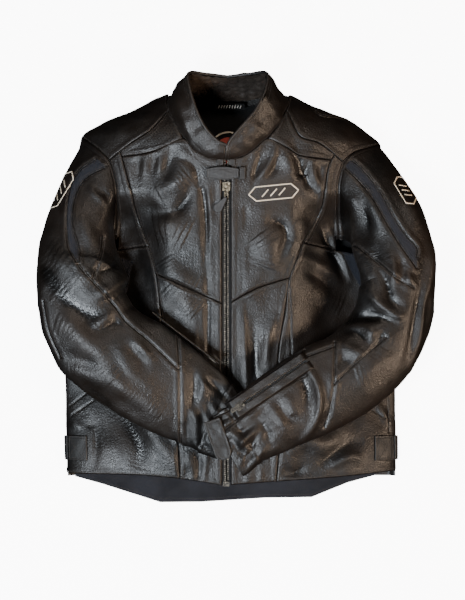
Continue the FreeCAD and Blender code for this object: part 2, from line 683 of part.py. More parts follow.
X_AXIS, Y_AXIS, Z_AXIS = Vector(1, 0, 0), Vector(0, 1, 0), Vector(0, 0, 1)


# ---------------------------------------------------------------- zips
def zip_tape(label, length, side):
    """One tape beside the middle of its zip, along +Y from 0."""
    tape = keep(doc.addObject("Part::Box", label), label)
    tape.setExpression("Length", "dims.tape_w")
    tape.setExpression("Height", "dims.tape_thick")
    tape.Width = length
    inset = dim("post_gap") + 0.5
    start = inset if side > 0 else -inset - dim("tape_w")
    return tape, Vector(start, 0, -dim("tape_thick") / 2)


def teeth(length, side):
    """One row of separate teeth, along +Y, that grip the edge of their tape."""
    wide, deep, high, pitch = dim("tooth_len"), dim("tooth_w"), dim("tooth_high"), dim("tooth_pitch")
    start = dim("post_gap") if side > 0 else -dim("post_gap") - wide
    row = []
    for k in range(int(length / pitch)):
        foot = Vector(start, pitch * (k + 0.2 + (0.5 if side > 0 else 0)), dim("tape_thick") / 2)
        row.append(Part.makeBox(wide, deep, (high - dim("tape_thick")) / 2, foot))
    return row


def zip_frame(origin, direction, up):
    """Placement whose Y is the way the zip closes and whose Z is outward."""
    y = direction.normalize()
    x = y.cross(up).normalize()
    z = x.cross(y)
    return Placement(FreeCAD.Matrix(
        x.x, y.x, z.x, origin.x,
        x.y, y.y, z.y, origin.y,
        x.z, y.z, z.z, origin.z,
        0, 0, 0, 1))


def slider_body(label):
    """Two plates joined by a narrow post at the front, side flanges clear of the tapes, and a bridge on top.
    The origin is the middle of the chain, and +Y is the way that closes the zip."""
    body = add_body(label)
    half_w, length, plate_t = dim("slider_w") / 2, dim("slider_len"), dim("plate")
    clear = dim("tooth_high") / 2 + dim("slider_clear")
    for name, level in (("lower", -clear - plate_t), ("upper", clear)):
        sketch = add_sketch(body, "%s_%s" % (label, name))
        rectangle(sketch, -half_w, -length / 2, (2 * half_w, "dims.slider_w"), (length, "dims.slider_len"))
        pad(body, sketch, "dims.plate", offset=level)
        if name == "lower":
            post = add_sketch(body, label + "_post")
            post_w, post_len = dim("post_gap") * 4 / 3, length / 4
            rectangle(post, -post_w / 2, length / 2 - post_len,
                      (post_w, "dims.post_gap * 4 / 3"), (post_len, "dims.slider_len / 4"))
            pad(body, post, "dims.tooth_high + 2 * dims.slider_clear + 1.5 * dims.plate", offset=level)
    bridge = add_sketch(body, label + "_bridge", "YZ_Plane")
    base, top, reach = clear + plate_t - 0.1, clear + plate_t + 3.2, 4.2
    half_arch = [(reach, base), (reach - 1.2, base), (reach - 1.7, top - 0.9)]
    outer = [(-reach, base), (-reach + 0.8, top), (reach - 0.8, top)]
    inner = [(-y, z) for y, z in half_arch[:0:-1]]
    loop = [Vector(y, z, 0) for y, z in outer + half_arch + inner]
    for a, b in zip(loop, loop[1:] + loop[:1]):
        bridge.addGeometry(Part.LineSegment(a, b), False)
    arch = body.newObject("PartDesign::Pad", label + "_arch")
    arch.Profile = bridge
    arch.Length = 1.8
    arch.Midplane = True
    return body


PULL_PIN = Vector(0, 0, dim("tooth_high") / 2 + dim("slider_clear") + dim("plate") + 1.15)


def pull_body(label, length):
    """Metal tab that hangs from the bridge by a cross bar.
    The origin is the bar's middle and the tab lies along -Y."""
    body = add_body(label)
    frame = add_sketch(body, label + "_frame")
    for a, b, c, d in ((-2.9, -length, 2.9, 0.75), (-1.7, -6.4, 1.7, -0.75)):
        corners = [Vector(a, b, 0), Vector(c, b, 0), Vector(c, d, 0), Vector(a, d, 0)]
        for p, q in zip(corners, corners[1:] + corners[:1]):
            frame.addGeometry(Part.LineSegment(p, q), False)
    eye = Part.Circle(Vector(0, -length + 2.6, 0), Z_AXIS, 1.3)
    frame.addGeometry(eye, False)
    solid = body.newObject("PartDesign::Pad", label + "_pad")
    solid.Profile = frame
    solid.setExpression("Length", "dims.pull_thick")
    solid.Midplane = True
    return body


def fob_body(label):
    """Teardrop rubber fob, narrow end at the origin, along -Y, with a rounded top edge."""
    body = add_body(label)
    sketch = add_sketch(body, label + "_drop")
    length, radius = dim("fob_len"), dim("fob_w") / 2
    neck, middle = 2.0, -length + radius
    start, end = Vector(-radius, middle, 0), Vector(radius, middle, 0)
    sketch.addGeometry(Part.Arc(start, Vector(0, -length, 0), end), False)
    loop = [end, Vector(neck, 0, 0), Vector(-neck, 0, 0), start]
    for a, b in zip(loop, loop[1:]):
        sketch.addGeometry(Part.LineSegment(a, b), False)
    solid = pad(body, sketch, "dims.fob_thick")
    doc.recompute()
    faces = solid.Shape.Faces
    crown = max(range(len(faces)), key=lambda k: faces[k].CenterOfMass.z)
    rounding = body.newObject("PartDesign::Fillet", label + "_round")
    rounding.Base = (solid, ["Face%d" % (crown + 1)])
    rounding.Radius = 0.9
    return body


zip_up = Vector(0, -math.sin(math.radians(ZIP_TILT)), math.cos(math.radians(ZIP_TILT)))
zip_way = Vector(0, math.cos(math.radians(ZIP_TILT)), math.sin(math.radians(ZIP_TILT)))
CHAIN_DROP = 3.4
CHAIN_FOOT_Y = dim("zip_hem_y") + 4
CHAIN_LENGTH = dim("chain_len")
REST_ALONG = dim("zip_travel") + 38.0
chain_start = Vector(ZIP_X, CHAIN_FOOT_Y, centre_height(CHAIN_FOOT_Y)) - zip_up * CHAIN_DROP
main_frame = zip_frame(chain_start, zip_way, zip_up)


def in_frame(frame, local, *turns):
    """Placement of a piece at a local point of a zip, after local turns."""
    rotation = Rotation()
    for axis, degrees in turns:
        rotation = Rotation(axis, degrees).multiply(rotation)
    return frame.multiply(Placement(local, rotation))


for side_name, sign in (("right", -1), ("left", 1)):
    tape, corner = zip_tape("zip_tape_" + side_name, CHAIN_LENGTH, sign)
    tape.Placement = in_frame(main_frame, corner)
    row = free_form("zip_teeth_" + side_name, teeth(CHAIN_LENGTH - 6, sign))
    row.Placement = in_frame(main_frame, Vector(0, 2, 0))
top_stops = [Part.makeBox(3.2, 5.0, 2.2, Vector(x, CHAIN_LENGTH - 2.5, 0.5)) for x in (-4.4, 1.2)]
bottom_stop = Part.makeBox(9.0, 7.0, 0.9, Vector(-4.5, -5.0, 1.9))
stops = free_form("zip_stops", top_stops + [bottom_stop])
stops.Placement = main_frame

main_slider = slider_body("main_zip_slider")
main_slider.Placement = in_frame(main_frame, Vector(0, REST_ALONG, 0))
main_pull = pull_body("main_zip_pull", 17.0)
main_pull.Placement = in_frame(main_frame, Vector(0, REST_ALONG, 0) + PULL_PIN)
FOB_SWING = -38.0
main_fob = fob_body("main_zip_fob")
fob_at = Vector(0, REST_ALONG - 15.4, PULL_PIN.z + 0.9)
main_fob.Placement = in_frame(main_frame, fob_at, (Z_AXIS, FOB_SWING))


CUFF_ZIPS = {  # where the chain starts and ends: (u, turn) near the elbow, then near the wrist
    "left": ((0.56, 136), (0.905, 141)),
    "right": ((0.36, 180), (0.86, 180)),
}


def cuff_zip(side):
    """Frame of the zip along the inner edge of a forearm. It closes towards the wrist."""
    (u0, turn0), (u1, turn1) = CUFF_ZIPS[side]
    far, near = sleeve_point(side, "fore", u0, turn0), sleeve_point(side, "fore", u1, turn1)
    way = (near - far).normalize()
    if side == "left":
        edge = sleeve_point(side, "fore", (u0 + u1) / 2, 90)
        up = way.cross(sleeve_point(side, "fore", (u0 + u1) / 2, turn0) - edge)
        up = up if up.z > 0 else -up
    else:
        way.z = 0
        up = Vector(-way.y, way.x, 0)
    up.normalize()
    steps = [k / 8 for k in range(9)]
    edge_points = [sleeve_point(side, "fore", u0 + (u1 - u0) * k, turn0 + (turn1 - turn0) * k) for k in steps]
    bulge = max((point - far).dot(up) for point in edge_points)
    middle = (far + near) * 0.5
    level = (far - middle).dot(up) + max(0.0, bulge) + 4.6
    return zip_frame(middle - way * (dim("cuff_zip_len") / 2) + up * level, way, up)


CUFF_REST = dim("cuff_travel") + 26
CUFF_TAPE_W = 11.0
for side in SLEEVES:
    frame = cuff_zip(side)
    length = dim("cuff_zip_len")
    tapes = [Part.makeBox(CUFF_TAPE_W, length, dim("tape_thick"), Vector(x, 0, -dim("tape_thick") / 2))
             for x in (-1.4 - CUFF_TAPE_W, 1.4)]
    chain = free_form("cuff_zip_" + side, tapes + teeth(length - 6, -1) + teeth(length - 6, 1))
    chain.Placement = frame
    slider = slider_body("cuff_slider_" + side)
    slider.Placement = in_frame(frame, Vector(0, CUFF_REST, 0))
    pull = pull_body("cuff_pull_" + side, 15.0)
    pull.Placement = in_frame(frame, Vector(0, CUFF_REST, 0) + PULL_PIN, (Z_AXIS, 180))

# ---------------------------------------------------------------- straps and tabs
NECK_TAB_Y, NECK_TAB_HINGE_X = 165.0, 4.0
neck_tab = strap_body("neck_tab", "neck_tab_len", "neck_tab_w", "neck_tab_thick", rounded=False)
tab_z = centre_height(NECK_TAB_Y) + 4.6
neck_turns = ((Z_AXIS, 180), (X_AXIS, ZIP_TILT))
place(neck_tab, NECK_TAB_HINGE_X, NECK_TAB_Y, tab_z, *neck_turns)
anchor = keep(doc.addObject("Part::Box", "neck_tab_anchor"), "neck_tab_anchor")
anchor.Length = 9.0
anchor.setExpression("Width", "dims.neck_tab_w")
anchor.Height = 5.6
low_edge = zip_way * (-dim("neck_tab_w") / 2) - zip_up * 3.6
place(anchor, NECK_TAB_HINGE_X + 0.8, NECK_TAB_Y + low_edge.y, tab_z + low_edge.z, (X_AXIS, ZIP_TILT))

WAIST_Y = -234.0


def band_on_side(sign, a0, a1, lift):
    """Band over the side of the waist between two angles of the torso section."""
    def surface(s, t):
        angle = sign * (a0 + (a1 - a0) * (s if sign > 0 else 1 - s))
        return torso_point(angle, WAIST_Y + dim("waist_tab_w") * (t - 0.5))
    return panel_shape(surface, 6, 5, dim("strap_thick"), lift=lift + dim("strap_thick"))


WAIST_LIFT = 1.2
SIGNS = {"right": -1, "left": 1}
for side, sign in SIGNS.items():
    free_form("waist_strap_" + side, band_on_side(sign, 60, 78, WAIST_LIFT))
free_form("waist_anchors", [band_on_side(sign, 79.6, 88, WAIST_LIFT) for sign in SIGNS.values()])


CUFF_STRAP_HEADING = -71.0
cuff_root = sleeve_point("left", "fore", 0.985, 172)
cuff_crest = sleeve_point("left", "fore", 0.965, 90)
cuff_strap = strap_body("cuff_strap_left", "cuff_strap_len", "cuff_strap_w", "strap_thick")
place(cuff_strap, cuff_root.x - 2, cuff_root.y - 4, cuff_crest.z + 1.4, (Z_AXIS, CUFF_STRAP_HEADING))


# ---------------------------------------------------------------- armour, labels, badges
ARMOUR_GAP = 5.0
free_form("shoulder_armour", [
    sleeve_panel(side, "upper", 0.16, 0.52, 32, 92, dim("armour_thick"), rows=6, columns=5,
                 lift=-LEATHER - ARMOUR_GAP)
    for side in SLEEVES])
LABEL_Z = BACK + dim("lining") + 2 * LAYER_GAP
LABEL_W, LABEL_HIGH, ROUND_LABEL_R = 44, 9, 24
free_form("neck_label", Part.makeBox(LABEL_W, LABEL_HIGH, dim("label_thick"),
                                     Vector(NECK_X - LABEL_W / 2, 252, LABEL_Z)))
free_form("round_label", Part.makeCylinder(ROUND_LABEL_R, dim("label_thick"),
                                           Vector(NECK_X + 2, 208, LABEL_Z)))


def badge_shape(surface_point, width, height):
    """Badge that follows the leather under it."""
    def surface(s, t):
        return surface_point(width * (s - 0.5), height * (t - 0.5))
    return panel_shape(surface, 6, 5, dim("badge_thick"), lift=1.0)


CHEST_BADGE_X, CHEST_BADGE_Y = 54, 138
BADGE_U, BADGE_TURN = 0.36, 48


def chest_point(dx, dy):
    x, y = CHEST_BADGE_X + dx, CHEST_BADGE_Y + dy
    return Vector(x, y, torso_height(x, y))


def sleeve_badge(side):
    sign = SIGNS[side]

    def surface_point(dx, dy):
        return sleeve_point(side, "upper", BADGE_U - dy / 200, BADGE_TURN - sign * dx * 0.8)
    return badge_shape(surface_point, 28, 44)


free_form("chest_badge", badge_shape(chest_point, 70, 24))


free_form("sleeve_badges", [sleeve_badge(side) for side in SLEEVES])


# ---------------------------------------------------------------- check and export
def main():
    doc.recompute()
    for thing in doc.Objects:
        if "Invalid" in thing.State or "Error" in thing.State:
            raise RuntimeError("%s failed to recompute" % thing.Label)
    os.makedirs("parts", exist_ok=True)
    for label, feature in nodes.items():
        shape = feature.Shape
        if shape.isNull() or not shape.isValid() or shape.Volume <= 0:
            raise RuntimeError("%s has no valid solid" % label)
        shape.exportStep("parts/%s.step" % label)
    print(len(nodes), "nodes")


main()
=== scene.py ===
import math
import bpy
import numpy as np
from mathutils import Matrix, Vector
from mathutils.bvhtree import BVHTree


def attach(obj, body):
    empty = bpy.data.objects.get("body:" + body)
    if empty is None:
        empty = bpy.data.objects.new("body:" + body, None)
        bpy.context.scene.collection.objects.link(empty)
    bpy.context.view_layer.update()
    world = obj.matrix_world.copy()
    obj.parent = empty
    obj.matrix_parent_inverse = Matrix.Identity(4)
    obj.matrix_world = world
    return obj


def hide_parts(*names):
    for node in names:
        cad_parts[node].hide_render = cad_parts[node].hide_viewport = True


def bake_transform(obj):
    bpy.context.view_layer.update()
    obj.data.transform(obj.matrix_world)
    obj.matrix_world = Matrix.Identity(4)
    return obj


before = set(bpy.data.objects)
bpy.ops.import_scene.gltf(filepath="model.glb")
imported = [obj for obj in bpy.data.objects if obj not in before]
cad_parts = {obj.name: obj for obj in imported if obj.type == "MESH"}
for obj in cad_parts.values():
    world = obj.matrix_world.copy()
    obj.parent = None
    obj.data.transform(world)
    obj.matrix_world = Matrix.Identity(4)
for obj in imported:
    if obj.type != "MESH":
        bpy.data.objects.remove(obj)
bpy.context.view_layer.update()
MM = 0.001  # everything below is worked out in millimetres

# ------------------------------------------------------------------ curves
TORSO_X, TORSO_BASE, ZIP_X, NECK_X = -10.0, 4.2, -14.0, -12.0
ZIP_SLOPE = (94.0 - 40.0) / (186.0 + 288.0)


def smooth(x):
    x = np.clip(x, 0.0, 1.0)
    return x * x * (3 - 2 * x)


def hump(x, centre, width):
    """Bell curve of height 1."""
    return np.exp(-((x - centre) / width) ** 2)


def rounded(gap, radius):
    """0 at an edge, then a quarter circle up to 1 at radius."""
    return np.sqrt(np.clip(1 - (1 - np.clip(gap, 0, radius) / radius) ** 2, 0, 1))


def unit(v):
    """Vectors scaled to length 1."""
    return v / (np.linalg.norm(v, axis=-1)[..., None] + 1e-9)


def lengths(points):
    """Length run at each point of a line."""
    return np.concatenate([[0], np.cumsum(np.linalg.norm(np.diff(points, axis=0), axis=1))])


def turned(line, angles, across, up):
    """Directions round each point of a line, by angle from across towards up."""
    return across[:, None] * np.cos(angles)[None, :, None] + up[:, None] * np.sin(angles)[None, :, None]


def along(stations, t):
    """Smooth value at t of a table of (t, value, ...) stations, by Catmull-Rom."""
    table = np.array(stations, float)
    keys, values = table[:, 0], table[:, 1:]
    t = np.clip(np.asarray(t, float), keys[0], keys[-1])
    i = np.clip(np.searchsorted(keys, t, side="right") - 1, 0, len(keys) - 2)
    j, k = np.maximum(i - 1, 0), np.minimum(i + 2, len(keys) - 1)
    step = keys[i + 1] - keys[i]
    f = ((t - keys[i]) / step)[..., None]
    b, c = values[i], values[i + 1]
    slope_b = (c - values[j]) * (step / (keys[i + 1] - keys[j]))[..., None]
    slope_c = (values[k] - b) * (step / (keys[k] - keys[i]))[..., None]
    cubic = 2 * (b - c) + slope_b + slope_c
    out = b + f * (slope_b + f * (3 * (c - b) - 2 * slope_b - slope_c + f * cubic))
    return out[..., 0] if out.shape[-1] == 1 else out


def seam(points):
    """Function of 0..1 that follows points, by length."""
    points = np.array(points, float)
    keys = lengths(points)
    stations = np.column_stack([keys / keys[-1], points])
    return lambda t: along(stations, t)


def trace(points, step):
    """Points about every step mm along a smooth line."""
    points = np.array(points, float)
    length = np.linalg.norm(np.diff(points, axis=0), axis=1).sum()
    fine = seam(points)(np.linspace(0, 1, 400))
    keys = lengths(fine)
    at = np.linspace(0, keys[-1], max(2, int(round(length / step)) + 1))
    return np.column_stack([np.interp(at, keys, fine[:, k]) for k in range(fine.shape[1])])


def waves(p, length, seed, count=22, heading=None, spread=0.5):
    """Smooth random field of about unit size, with bumps about length mm across. With a heading in
    degrees, its creases run along that direction in plan."""
    rng = np.random.default_rng(seed)
    total = np.zeros(p.shape[:-1])
    for _ in range(count):
        if heading is None:
            way = rng.normal(size=3)
            way /= np.linalg.norm(way)
        else:
            a = math.radians(heading + 90) + rng.normal() * spread
            way = np.array([math.cos(a), math.sin(a), rng.normal() * 0.3])
        total += np.sin(p @ way * (2 * math.pi / (length * rng.uniform(1.2, 2.8))) + rng.uniform(0, 6.28))
    return total / math.sqrt(count / 2)


# ------------------------------------------------------------------ torso surface
RIGHT_SIDE = [(-320, -249), (-270, -249), (-115, -252), (0, -246), (60, -238), (222, -229), (243, -198),
              (258, -160), (270, -136), (281, -118), (288, -101), (300, -84)]
LEFT_SIDE = [(-320, 236), (-268, 236), (-147, 235), (0, 230), (60, 224), (211, 214), (230, 194), (245, 172),
             (257, 146), (270, 112), (281, 92), (288, 78), (300, 60)]
SHOULDER_DROP = [(-320, 1.0), (188, 1.0), (225, 0.95), (262, 0.72), (286, 0.42), (300, 0.30)]


def half_width(x, y):
    return np.where(x < TORSO_X, TORSO_X - along(RIGHT_SIDE, y), along(LEFT_SIDE, y) - TORSO_X)


def torso_height(x, y):
    x, y = np.asarray(x, float), np.asarray(y, float)
    a = np.clip(np.abs(x - TORSO_X) / half_width(x, y), 0, 1)
    dome = np.sqrt(np.maximum(0.0, 1 - a ** 2.6))
    pressed = 0.40 + 0.60 * smooth((0.72 - a) / 0.36)
    share = smooth((145 - y) / 60) * smooth((y + 260) / 110)
    high = (40.0 + ZIP_SLOPE * (y + 288.0) - TORSO_BASE) * along(SHOULDER_DROP, y)
    return TORSO_BASE + high * dome * (1 + share * (pressed - 1))


def to_angle(x, y):
    x, y = np.asarray(x, float), np.asarray(y, float)
    a = np.clip(np.abs(x - TORSO_X) / half_width(x, y), 0, 1)
    return np.sign(x - TORSO_X) * np.degrees(np.arcsin(a))


def torso_point(angle, y):
    side = np.where(angle < 0, -1.0, 1.0)
    x = TORSO_X + side * np.abs(np.sin(np.radians(angle))) * half_width(TORSO_X + side, y)
    return np.stack([x, y, torso_height(x, y)], axis=-1)


def side_point(side, y, angle=89.0):
    return TORSO_X + side * math.sin(math.radians(angle)) * float(half_width(TORSO_X + side, y)), y


def side_edge(side, low, high, angle=89.0):
    return lambda t: np.stack([np.full_like(t, side * angle), low + (high - low) * t], axis=-1)


def shoulder_edge(side, start, end, angle=88.0):
    first, last = float(to_angle(*start)), float(to_angle(*end))

    def edge(t):
        share = smooth(t / 0.25) * smooth((1 - t) / 0.25)
        straight = first + (last - first) * t
        bent = straight + (side * angle - straight) * share
        return np.stack([bent, start[1] + (end[1] - start[1]) * t], axis=-1)
    return edge


def patch(left, right, bottom, top):
    """Four-sided surface on the torso between seams: left and right run up, bottom and top to the right."""
    edges = []
    for points in (left, right, bottom, top):
        if callable(points):
            edges.append(points)
        else:
            def edge(t, curve=seam(points)):
                p = curve(t)
                return np.stack([to_angle(p[..., 0], p[..., 1]), p[..., 1]], axis=-1)
            edges.append(edge)
    low, high, base, crest = edges

    def surface(s, t):
        one = np.ones(1)
        corners = [(low(0 * one), (1 - s) * (1 - t)), (high(0 * one), s * (1 - t)),
                   (low(one), (1 - s) * t), (high(one), s * t)]
        both = (1 - s)[..., None] * low(t) + s[..., None] * high(t)
        both = both + (1 - t)[..., None] * base(s) + t[..., None] * crest(s)
        both = both - sum(c * w[..., None] for c, w in corners)
        return torso_point(np.clip(both[..., 0], -90, 90), both[..., 1])
    return surface


# ------------------------------------------------------------------ folds
# Folds of the leather. Each stroke is its width, its height (below zero for a valley) and
# the plan line that it follows.
FOLDS = {
    "torso": [
        (6, -3.2, [(-85, 189), (-63, 178), (-52, 156), (-46, 120), (-43, 76), (-43, 32)]),
        (7, 2, [(-39, 147), (-33, 109), (-32, 65), (-33, 9)]),
        (15, 4.5, [(-114, 136), (-95, 147), (-70, 167)]),
        (9, -3.2, [(-63, 147), (-72, 127), (-86, 112), (-108, 109), (-128, 118)]),
        (20, 4.5, [(-121, 85), (-95, 89), (-66, 76)]), (7, -1.6, [(-139, 194), (-141, 176), (-143, 154)]),
        (6, 1.4, [(-130, 189), (-133, 163)]), (6, -1.5, [(-117, 194), (-121, 163)]),
        (6, 1.4, [(-106, 191), (-110, 167)]), (8, -2, [(-91, 198), (-99, 172), (-103, 154)]),
        (10, -2, [(-143, 69), (-139, 36), (-130, 3)]), (14, 3, [(-103, 45), (-86, 21), (-55, 3)]),
        (5, -3, [(36, 191), (31, 176), (25, 154), (22, 136)]), (5, 2.4, [(56, 194), (47, 178), (37, 160)]),
        (5, -2.2, [(60, 187), (56, 172), (45, 156)]), (12, 3, [(69, 196), (80, 180), (85, 163)]),
        (8, -3.6, [(82, 207), (90, 180), (96, 158), (107, 147), (118, 136)]),
        (7, 2, [(111, 180), (113, 163), (120, 143)]), (4, -1.6, [(103, 180), (100, 163), (98, 154)]),
        (4, -1.2, [(120, 178), (122, 154)]), (7, -3.6, [(51, 98), (69, 89), (73, 74), (67, 56), (62, 43)]),
        (22, 4, [(31, 81), (45, 58), (36, 29)]), (10, 2.6, [(85, 98), (96, 87), (89, 65)]),
        (7, -3.6, [(118, 100), (133, 69), (147, 41), (158, 14)]),
        (6, 2.6, [(133, 96), (144, 69), (156, 45), (167, 16)]),
        (9, 3.4, [(93, 45), (116, 38), (138, 23), (160, 7)]), (8, -2.2, [(102, 23), (124, 12), (144, -6)]),
        (7, -2.8, [(16, 187), (12, 154), (8, 120), (7, 76)]), (7, 2.6, [(8, 58), (7, 25), (5, -10)]),
        (16, 3.2, [(-100, 6), (-77, -15), (-54, -36)]), (6, -3, [(-40, 22), (-39, -31), (-39, -93)]),
        (6, 2.2, [(-29, -43), (-27, -77), (-25, -107)]),
        (12, 3.4, [(-137, -202), (-114, -223), (-95, -246), (-88, -269)]),
        (14, -3.2, [(-169, -181), (-151, -207), (-141, -234), (-148, -264)]),
        (9, 2.4, [(-241, -188), (-232, -207), (-222, -216)]),
        (8, -2, [(-211, -204), (-206, -239), (-213, -264)]),
        (6, -2, [(-58, -237), (-54, -258), (-56, -278)]), (5, 1.6, [(-37, -246), (-33, -264), (-34, -281)]),
        (6, 1.4, [(-72, -234), (-68, -262)]), (7, 3.2, [(5, -26), (10, -61), (13, -93), (14, -130)]),
        (10, -3.4, [(26, -43), (26, -77), (28, -112), (31, -140)]),
        (8, 2.8, [(54, -43), (47, -77), (43, -112)]), (6, -2.2, [(-4, -24), (-3, -66), (1, -112)]),
        (16, 3, [(121, 6), (135, -15), (158, -26)]),
        (14, 3.4, [(72, -239), (100, -223), (130, -225), (149, -209)]),
        (9, -2.6, [(121, -260), (153, -234), (181, -223)]), (7, 2, [(139, -260), (167, -246), (188, -248)]),
        (8, -2, [(68, -264), (84, -269), (102, -260)]), (6, -3, [(33, -255), (38, -244), (44, -234)]),
        (6, 2.4, [(206, -167), (218, -186), (225, -204)]), (5, 1.6, [(58, 207), (51, 189)]),
    ],
    "right": [
        (12, 3.6, [(-225, 107), (-214, 81), (-203, 58), (-199, 45)]),
        (6, -2.4, [(-192, 76), (-188, 54), (-174, 43)]), (5, -1.8, [(-221, 65), (-217, 45), (-219, 27)]),
        (18, 4, [(-274, 56), (-250, 41), (-225, 21), (-199, -2)]),
        (16, -3, [(-285, 43), (-265, 16), (-241, -8)]), (7, -2.6, [(-210, 23), (-188, 27), (-166, 36)]),
        (7, 3, [(-194, -15), (-174, 3), (-148, 23)]), (5, -2, [(-174, -15), (-157, 1), (-143, 12)]),
        (5, 1.6, [(-210, 147), (-199, 132), (-188, 125)]),
        (5, -1.6, [(-203, 143), (-188, 136), (-181, 118)]),
        (14, -4.2, [(-259, -8), (-232, -26), (-206, -40), (-183, -38)]),
        (18, 4.6, [(-259, -45), (-232, -56), (-209, -82), (-190, -105), (-169, -130)]),
        (12, -2.8, [(-250, -93), (-229, -103), (-202, -112), (-178, -133)]),
        (14, 4.4, [(-250, -117), (-218, -117), (-188, -126), (-160, -142), (-132, -163), (-105, -181)]),
        (10, -2.4, [(-234, -135), (-202, -149), (-174, -172)]),
        (9, -3.2, [(-222, -49), (-199, -61), (-176, -52), (-160, -49)]),
        (7, 2.4, [(-197, -52), (-183, -40), (-178, -29)]),
        (6, 2.4, [(-148, -70), (-137, -82), (-121, -98)]),
        (6, -2, [(-153, -84), (-139, -98), (-128, -112)]),
        (6, -2.4, [(-160, -31), (-139, -24), (-118, -43)]),
        (10, 2.6, [(-169, -82), (-151, -117), (-123, -144)]),
        (7, -2.6, [(-61, -121), (-61, -149), (-65, -177)]),
        (7, 2.6, [(-54, -117), (-47, -135), (-49, -158)]),
        (6, 2.4, [(-61, -177), (-56, -200), (-54, -218)]), (6, -2, [(-49, -181), (-49, -204), (-47, -223)]),
        (5, -1.6, [(-72, -190), (-70, -214)]), (5, 1.8, [(-26, -117), (-17, -135), (-7, -149)]),
        (5, -1.8, [(-37, -121), (-28, -140), (-14, -158)]),
    ],
    "left": [
        (7, 4.2, [(167, 125), (172, 98), (174, 69), (182, 36), (193, 9), (202, -10)]),
        (7, -3, [(182, 118), (189, 92), (191, 69)]), (8, -2.6, [(198, 52), (207, 21), (218, -2)]),
        (7, 2.4, [(189, 45), (200, 21), (215, -8)]),
        (7, 2.4, [(180, 145), (191, 125), (204, 100), (213, 76)]),
        (6, -1.8, [(176, 163), (187, 147), (198, 132)]), (6, 2.4, [(220, 47), (227, 27), (224, 9)]),
        (6, -2.2, [(233, 43), (238, 21), (233, 3)]), (5, 1.8, [(240, 21), (249, 14), (255, 9)]),
        (5, 3, [(282, 61), (280, 32), (275, -6)]), (9, -2.4, [(267, 65), (264, 32), (258, -2)]),
        (10, 3.2, [(240, 132), (253, 107), (264, 83)]),
        (7, 3.6, [(188, 13), (195, -12), (213, -29), (232, -40)]),
        (7, -3.6, [(213, 8), (220, -15), (234, -26)]), (5, 2.2, [(241, -33), (232, -40), (220, -40)]),
        (9, -5, [(135, -49), (162, -43), (195, -40), (222, -45)]),
        (9, 3.4, [(151, -77), (167, -89), (185, -93)]), (8, -3.4, [(142, -66), (167, -61), (190, -75)]),
        (9, 2.6, [(199, -56), (190, -68), (199, -77)]), (6, -2.2, [(213, -59), (204, -73), (192, -93)]),
        (5, 3, [(273, 4), (266, -33), (261, -70), (250, -117)]),
        (6, -2.6, [(264, 6), (257, -31), (250, -70), (243, -103)]),
        (6, -2, [(283, -70), (269, -84), (257, -112)]), (16, 3, [(167, -123), (195, -112), (213, -84)]),
        (8, -1.8, [(142, -112), (153, -103), (162, -112)]),
        (6, 4, [(93, -105), (109, -123), (118, -147), (118, -172), (109, -197), (95, -216)]),
        (8, -3, [(88, -121), (100, -144), (102, -170)]), (6, -1.8, [(130, -154), (132, -177), (123, -197)]),
        (10, 2.4, [(68, -151), (79, -167), (84, -181)]), (8, 3, [(44, -165), (61, -179), (70, -195)]),
        (6, -2.6, [(33, -188), (44, -204), (49, -221)]), (6, -2.2, [(58, -167), (72, -184), (88, -188)]),
        (5, 3, [(31, -200), (17, -209), (5, -225)]), (4, -3.2, [(26, -216), (21, -232), (14, -248)]),
        (5, 2.6, [(40, -225), (31, -237), (21, -246)]), (5, -2.2, [(-4, -195), (5, -204), (12, -200)]),
        (6, 2.4, [(-6, -204), (5, -214), (12, -225)]), (5, -2, [(-4, -218), (5, -230), (17, -241)]),
        (5, 1.6, [(5, -188), (21, -181), (33, -174)]), (7, 2, [(100, -110), (91, -105), (84, -112)]),
    ],
}


def fold_field(p, strokes):
    """Height in mm that the strokes add."""
    x, y = p[..., 0].ravel(), p[..., 1].ravel()
    total = np.zeros(x.size)
    for width, height, points in strokes:
        line = trace(points, max(2.0, width * 0.4))
        reach = width * 2.6
        near = np.flatnonzero((x > line[:, 0].min() - reach) & (x < line[:, 0].max() + reach)
                              & (y > line[:, 1].min() - reach) & (y < line[:, 1].max() + reach))
        if not near.size:
            continue
        gap = (x[near][:, None] - line[None, :, 0]) ** 2 + (y[near][:, None] - line[None, :, 1]) ** 2
        at = gap.argmin(axis=1) / (len(line) - 1)
        taper = np.sin(np.pi * np.clip(0.06 + 0.88 * at, 0, 1)) ** 0.7
        total[near] += height * np.exp(-gap.min(axis=1) / width ** 2) * taper
    return total.reshape(p.shape[:-1])


def line_distance(p, points, step=1.0):
    """Plan distance in mm from each point to a smooth line."""
    line = trace(points, step)
    flat = p[..., :2].reshape(-1, 2)
    out = np.full(len(flat), 99.0)
    near = np.flatnonzero((flat[:, 0] > line[:, 0].min() - 12) & (flat[:, 0] < line[:, 0].max() + 12)
                          & (flat[:, 1] > line[:, 1].min() - 12) & (flat[:, 1] < line[:, 1].max() + 12))
    for part in np.array_split(near, max(1, near.size // 4000)):
        if part.size:
            gap = flat[part][:, None, :] - line[None, :, :]
            out[part] = np.sqrt((gap ** 2).sum(axis=2).min(axis=1))
    return out.reshape(p.shape[:-1])


def inside(p, outline):
    """1 inside a plan outline, 0 outside."""
    x, y = p[..., 0], p[..., 1]
    hit = np.zeros(x.shape, bool)
    for (x0, y0), (x1, y1) in zip(outline, outline[1:] + outline[:1]):
        if y0 != y1:
            hit ^= ((y0 > y) != (y1 > y)) & (x < (x1 - x0) * (y - y0) / (y1 - y0) + x0)
    return hit.astype(float)


# ------------------------------------------------------------------ mesh building
SIXTHS = np.arange(6) * (math.pi / 3)
HEXAGON = [[0, 1, 2, 3], [0, 3, 4, 5]]  # a six-sided face as two quads


